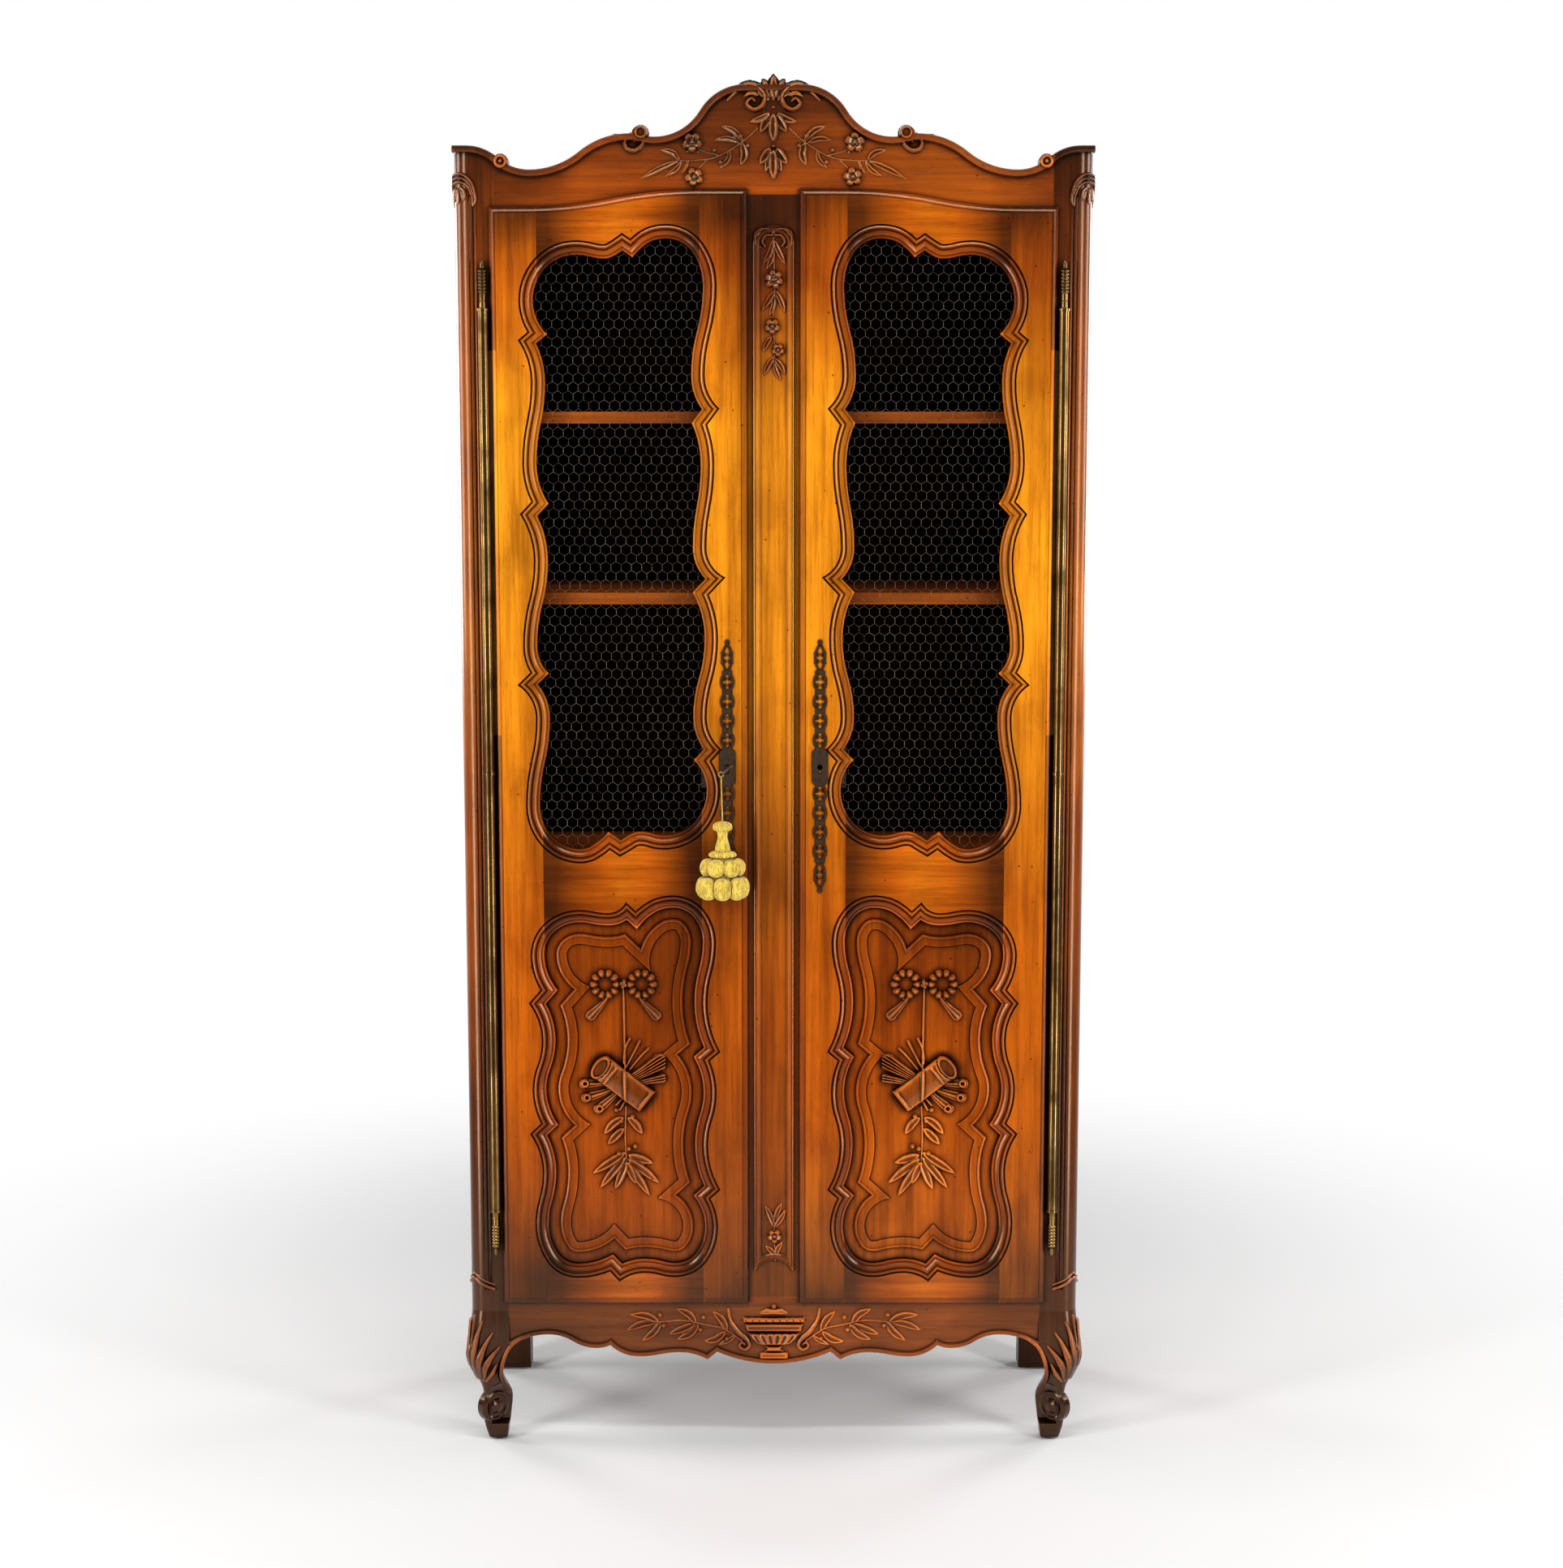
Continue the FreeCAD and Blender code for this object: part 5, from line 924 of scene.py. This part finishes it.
def tube(line, radius, sides):
    """Corners and faces of a closed round strand along points in metres; the radius may change along it."""
    radius = np.broadcast_to(np.asarray(radius, float), (len(line),))
    first, second = across_line(line)
    turns = np.arange(sides) * 2 * math.pi / sides
    rings = line[:, None] + radius[:, None, None] * (first[:, None] * np.cos(turns)[None, :, None]
                                                     + second[:, None] * np.sin(turns)[None, :, None])
    return rings.reshape(-1, 3), skin(len(line), sides)


def skin(rings, sides):
    """Faces of a closed form made of rings of corners, with a cap on each end."""
    faces = []
    for ring in range(rings - 1):
        for step in range(sides):
            after = (step + 1) % sides
            low, high = ring * sides, (ring + 1) * sides
            faces.append((low + step, low + after, high + after, high + step))
    faces.append(tuple(range(sides))[::-1])
    faces.append(tuple(range((rings - 1) * sides, rings * sides)))
    return faces


def join(name, pieces, finish):
    """One mesh object of several closed forms."""
    corners, faces, start = [], [], 0
    for points, sides in pieces:
        corners.append(points)
        faces.extend(tuple(start + index for index in face) for face in sides)
        start += len(points)
    mesh = bpy.data.meshes.new(name)
    mesh.from_pydata(np.vstack(corners).tolist(), [], faces)
    mesh.update()
    mesh.polygons.foreach_set("use_smooth", np.ones(len(mesh.polygons), bool))
    mesh.materials.append(finish)
    return link(name, mesh)


# Beads down the inner edge of each front leg, on from the apron's, and beside each post's rounded corner.
LEG_BEAD = ((-395, 188), (-406, 184), (-414.5, 179), (-425.5, 170), (-433, 159), (-438, 146), (-441, 135),
            (-442.5, 121.5), (-441, 108), (-436, 94), (-431, 83))
POST_BEAD_X, POST_BEAD_Y, POST_BEAD_LOW, POST_BEAD_HIGH = -456, -174.4, 265, 1988
LEG_BEAD_RADII, LEG_BEAD_SUNK, POST_BEAD_RADIUS = (3.0, 4.0), 0.6, 2.0
for side, word in SIDES:
    rows = []
    for x, z in smooth_line(LEG_BEAD, 3):
        inset = np.interp(z, leg_levels, leg_insets)
        rows.append((side * x, POST_FACE + inset + LEG_BEAD_SUNK, z))
    foot, head = ((POST_BEAD_X * side, POST_BEAD_Y, z) for z in (POST_BEAD_LOW, POST_BEAD_HIGH))
    beads = (("leg_bead_", np.array(rows), np.linspace(*LEG_BEAD_RADII, len(rows))),
             ("post_bead_", np.linspace(foot, head, 8), POST_BEAD_RADIUS))
    for stem, line, radius in beads:
        bead = join(stem + word, [tube(line * MM, radius * MM, 10)], post_wood)
        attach(bead, "case")


# Keyhole plates: curled strips inside the links of the pierced chain.
PLATE_HALF, LINK_HIGH, LAST_LINK_HIGH, LINK_LAP = 27.0, 32.5, 47.1, 1.0
CURL = ((9.2, 8.5), (7.2, 4.2), (3.8, 2.6), (1.7, 5.0), (3.2, 7.4), (5.2, 6.0))
CURL_RADIUS = 0.75
QUARTERS = ((1, 1), (1, -1), (-1, 1), (-1, -1))
curl_line = smooth_line(CURL, 0.9)
for word in ("left", "right"):
    low, high = (np.array(corner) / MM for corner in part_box("door_escutcheon_" + word))
    middle = (low + high) / 2
    strips = []
    for up in (1, -1):
        foot = PLATE_HALF
        for tall in (LINK_HIGH, LINK_HIGH, LINK_HIGH, LINK_HIGH, LAST_LINK_HIGH):
            centre = middle[2] + up * (foot + tall / 2 - LINK_LAP)
            foot += tall - 2 * LINK_LAP
            for across, end in QUARTERS:
                rows = [(middle[0] + across * x, middle[1], centre + end * z) for x, z in curl_line]
                strips.append(tube(np.array(rows) * MM, CURL_RADIUS * MM, 6))
    curls_piece = join("scutcheon_curls_" + word, strips, iron)
    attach(curls_piece, word + "_door")

# Wire mesh: zigzag wires, each twisted with its neighbours along the upright sides of the cells.
WIRE_CELL = 16.0
WIRE_RADIUS = 0.30
TWIST_RADIUS = 0.34
CELL_SIDE = WIRE_CELL / math.sqrt(3)
TWIST_STEPS = 4


def mesh_wires(low, high):
    """The wires of one piece of netting between two corners in millimetres."""
    y = (low[1] + high[1]) / 2
    columns = int((high[0] - low[0] - WIRE_CELL - 2) // WIRE_CELL)
    start = (low[0] + high[0] - columns * WIRE_CELL) / 2
    rows = int((high[2] - low[2] - 2) // (1.5 * CELL_SIDE))
    bottom = (low[2] + high[2] - rows * 1.5 * CELL_SIDE) / 2
    pieces = []
    for column in range(columns + 1):
        for way in (1, -1):
            line = []
            for row in range(rows):
                x = start + column * WIRE_CELL + (way * WIRE_CELL / 2 if row % 2 else 0)
                begin = 0 if (way > 0) == (row % 2 == 0) else math.pi
                for step in range(TWIST_STEPS + 1):
                    turn = begin + 2 * math.pi * step / TWIST_STEPS
                    line.append((x + TWIST_RADIUS * math.cos(turn), y + TWIST_RADIUS * math.sin(turn),
                                 bottom + row * 1.5 * CELL_SIDE + CELL_SIDE * step / TWIST_STEPS))
            pieces.append(tube(np.array(line) * MM, WIRE_RADIUS * MM, 5))
    return pieces


for word in ("left", "right"):
    low, high = (np.array(corner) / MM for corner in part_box("door_wire_mesh_" + word))
    netting = join("netting_" + word, mesh_wires(low, high), wire)
    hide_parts("door_wire_mesh_" + word)
    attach(netting, word + "_door")


# Tassel: a twisted cord, a button head, a bell of strands, a ruffle and two tiers of wool balls.
RING_POINT = (-81.846, -214, 1106.158)
LOOP_RADIUS = 3.6
CORD_TOP = (-81.846, -214, 1102.558)
CORD_LOW = (-79.846, -214, 1032.158)
CORD_END = (-79.846, -214, 938)
CORD_RADIUS = 1.3
STRANDS, STRAND_OUT, STRAND_THICK = 3, 0.46, 0.54


def twisted(line, radius, turns):
    """Strands laid round a line of points in millimetres."""
    first, second = across_line(line)
    run = np.linspace(0, 2 * math.pi * turns, len(line))
    pieces = []
    for strand in range(STRANDS):
        turn = run + strand * 2 * math.pi / STRANDS
        laid = line + STRAND_OUT * radius * (first * np.cos(turn)[:, None] + second * np.sin(turn)[:, None])
        pieces.append(tube(laid * MM, STRAND_THICK * radius * MM, 7))
    return pieces


bend = np.linspace(0, 2 * math.pi, 41)
loop_line = np.stack([RING_POINT[0] + LOOP_RADIUS * np.sin(bend), np.full(len(bend), RING_POINT[1]),
                      RING_POINT[2] - LOOP_RADIUS * np.cos(bend)], axis=1)
cord_line = np.vstack([np.linspace(CORD_TOP, CORD_LOW, 120), np.linspace(CORD_LOW, CORD_END, 160)[1:]])
cord = join("key_cord", twisted(cord_line, CORD_RADIUS, 37), cord_yarn)
loop = join("key_loop", twisted(loop_line, 0.8 * CORD_RADIUS, 4), cord_yarn)
FLATTEN = 0.68
AROUND = 96
BALL_ROWS, BALL_SIDES = 22, 60


def turned_form(rings, ribs, depth):
    """A closed form of revolution round the cord's end, given as drops and radii, with ribs."""
    turns = np.arange(AROUND) * 2 * math.pi / AROUND
    wave = 1 + depth * np.cos(ribs * turns)
    corners = []
    for down, radius in rings:
        x = CORD_LOW[0] + radius * wave * np.cos(turns)
        y = CORD_LOW[1] - FLATTEN * radius * wave * np.sin(turns)
        corners.append(np.stack([x, y, np.full(AROUND, CORD_LOW[2] - down)], axis=1))
    return np.vstack(corners) * MM, skin(len(rings), AROUND)


def wool_ball(turn, out, down, wide, tall):
    """A gathered ball of wool with strands from its top to its foot."""
    turns = np.arange(BALL_SIDES) * 2 * math.pi / BALL_SIDES
    up, around = np.meshgrid(np.linspace(0.06, math.pi - 0.12, BALL_ROWS), turns, indexing="ij")
    strand = 1 + 0.045 * np.cos(13 * around + 0.7 * np.sin(3 * up)) + 0.02 * np.cos(29 * around + 5 * up)
    radius = wide * np.sin(up) ** 0.8 * strand
    corners = np.stack([CORD_LOW[0] + out * math.cos(turn) + radius * np.cos(around),
                        CORD_LOW[1] + 0.6 * out * math.sin(turn) - 0.8 * radius * np.sin(around),
                        CORD_LOW[2] - down + tall * np.cos(up)], axis=-1)
    return corners.reshape(-1, 3) * MM, skin(*up.shape)


tassel_forms = [turned_form([(0, 3), (1, 9), (4, 13.5), (9, 15), (13, 14), (15.5, 9)], 22, 0.05),
                turned_form([(14, 9.5), (18, 8), (24, 7.2), (31, 8.6), (40, 11), (50, 12.6)], 30, 0.04),
                turned_form([(47, 11), (48, 17), (51, 20), (54, 20.5), (57, 17), (58, 9)], 18, 0.08),
                turned_form([(52, 9), (62, 17), (78, 18), (95, 22), (112, 20), (118, 8)], 12, 0.05)]
UPPER_BALLS, LOWER_BALLS = 6, 7
for index in range(UPPER_BALLS):
    tassel_forms.append(wool_ball(2 * math.pi * index / UPPER_BALLS - 2.0, 22, 73, 13.5, 14.5))
for index in range(LOWER_BALLS):
    tassel_forms.append(wool_ball(2 * math.pi * index / LOWER_BALLS - math.pi / 2, 28, 105, 14.5, 18))
tassel = join("wool_tassel", tassel_forms, tassel_wool)
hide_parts("tassel_cord")
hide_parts("tassel")
for piece, slot in ((cord, "cord_yarn"), (loop, "cord_yarn"), (tassel, "tassel_wool")):
    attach(piece, "tassel")

# Floor, light and background. The floor fades out into the white background away from the object.
FLOOR_SIZE = 12.0
FLOOR_CLEAR, FLOOR_GONE = 1.0, 2.4
FLOOR_COLOUR, FLOOR_ROUGH = grey(0.88), 0.9
floor_mesh = bpy.data.meshes.new("floor")
half = FLOOR_SIZE / 2
floor_corners = [(x * half, y * half, 0) for x, y in ((-1, -1), (1, -1), (1, 1), (-1, 1))]
floor_mesh.from_pydata(floor_corners, [], [(0, 1, 2, 3)])
floor = link("floor", floor_mesh)
floor_look, floor_tree, floor_shader = new_material("floor")
floor_shader.inputs["Base Color"].default_value = (*FLOOR_COLOUR, 1)
floor_shader.inputs["Roughness"].default_value = FLOOR_ROUGH
floor_place = add(floor_tree, "ShaderNodeTexCoord").outputs["Object"]
floor_reach = add(floor_tree, "ShaderNodeVectorMath", operation="LENGTH", Vector=floor_place).outputs["Value"]
fade = between(floor_tree, floor_reach, FLOOR_CLEAR, FLOOR_GONE, interpolation_type="SMOOTHSTEP")
clear = add(floor_tree, "ShaderNodeBsdfTransparent")
blend = add(floor_tree, "ShaderNodeMixShader", Fac=fade)
floor_tree.links.new(floor_shader.outputs["BSDF"], blend.inputs[1])
floor_tree.links.new(clear.outputs["BSDF"], blend.inputs[2])
floor_tree.links.new(blend.outputs["Shader"], floor_tree.nodes["Material Output"].inputs["Surface"])
floor_mesh.materials.append(floor_look)

# The background is white to the camera and, in polish, behind and beside the object. In front it is dim.
AMBIENT, STUDIO = 0.14, 0.14
BACKDROP = (0.1, 0.9)
world = bpy.data.worlds.new("studio")
world.use_nodes = True
bpy.context.scene.world = world
sky = world.node_tree
rays = add(sky, "ShaderNodeLightPath").outputs
mirrored = calculate(sky, "MAXIMUM", rays["Is Glossy Ray"], rays["Is Transmission Ray"])
towards = axis_of(sky, add(sky, "ShaderNodeTexCoord").outputs["Generated"], "Y")
backdrop = between(sky, towards, *BACKDROP, low=STUDIO)
unseen = between(sky, mirrored, low=AMBIENT, high=backdrop)
strength = between(sky, rays["Is Camera Ray"], low=unseen)
sky.links.new(strength, sky.nodes["Background"].inputs["Strength"])
sky.nodes["Background"].inputs["Color"].default_value = (*WHITE, 1)


def lamp(name, at, target, width, height, power):
    """A rectangle of light that faces a point."""
    data = bpy.data.lights.new(name, "AREA")
    data.shape = "RECTANGLE"
    data.size, data.size_y = width, height
    data.energy = power
    made = bpy.data.objects.new(name, data)
    made.location = at
    made.rotation_euler = (Vector(target) - Vector(at)).to_track_quat("-Z", "Y").to_euler()
    bpy.context.scene.collection.objects.link(made)


# Tall softboxes on both sides, two lamps for the back, and a strip above the front. A softbox is given by
# its angle from the front, width, height, level and power.
SOFTBOXES = ((50, 0.5, 3.4, 0.9, 66), (90, 0.8, 1.8, 2.0, 34))
BOX_REACH = 3.0
BACK_OUT, BACK_BEHIND, BACK_UP, BACK_SIZE, BACK_POWER = 3.4, 2.8, 1.6, 1.4, 65
TOP_AT, TOP_WIDE, TOP_DEEP, TOP_POWER = (0, -2.3, 3.8), 2.6, 0.4, 50
MIDDLE_HIGH = (0, 0, 1.1)
for side, word in SIDES:
    for angle, wide, tall, high, power in SOFTBOXES:
        turn = math.radians(angle)
        at = (-side * BOX_REACH * math.sin(turn), -BOX_REACH * math.cos(turn), high)
        lamp("softbox_%s_%d" % (word, angle), at, (0, 0, high), wide, tall, power)
    back_at = (-side * BACK_OUT, BACK_BEHIND, BACK_UP)
    lamp("back_" + word, back_at, MIDDLE_HIGH, BACK_SIZE, BACK_SIZE, BACK_POWER)
lamp("top_box", TOP_AT, MIDDLE_HIGH, TOP_WIDE, TOP_DEEP, TOP_POWER)
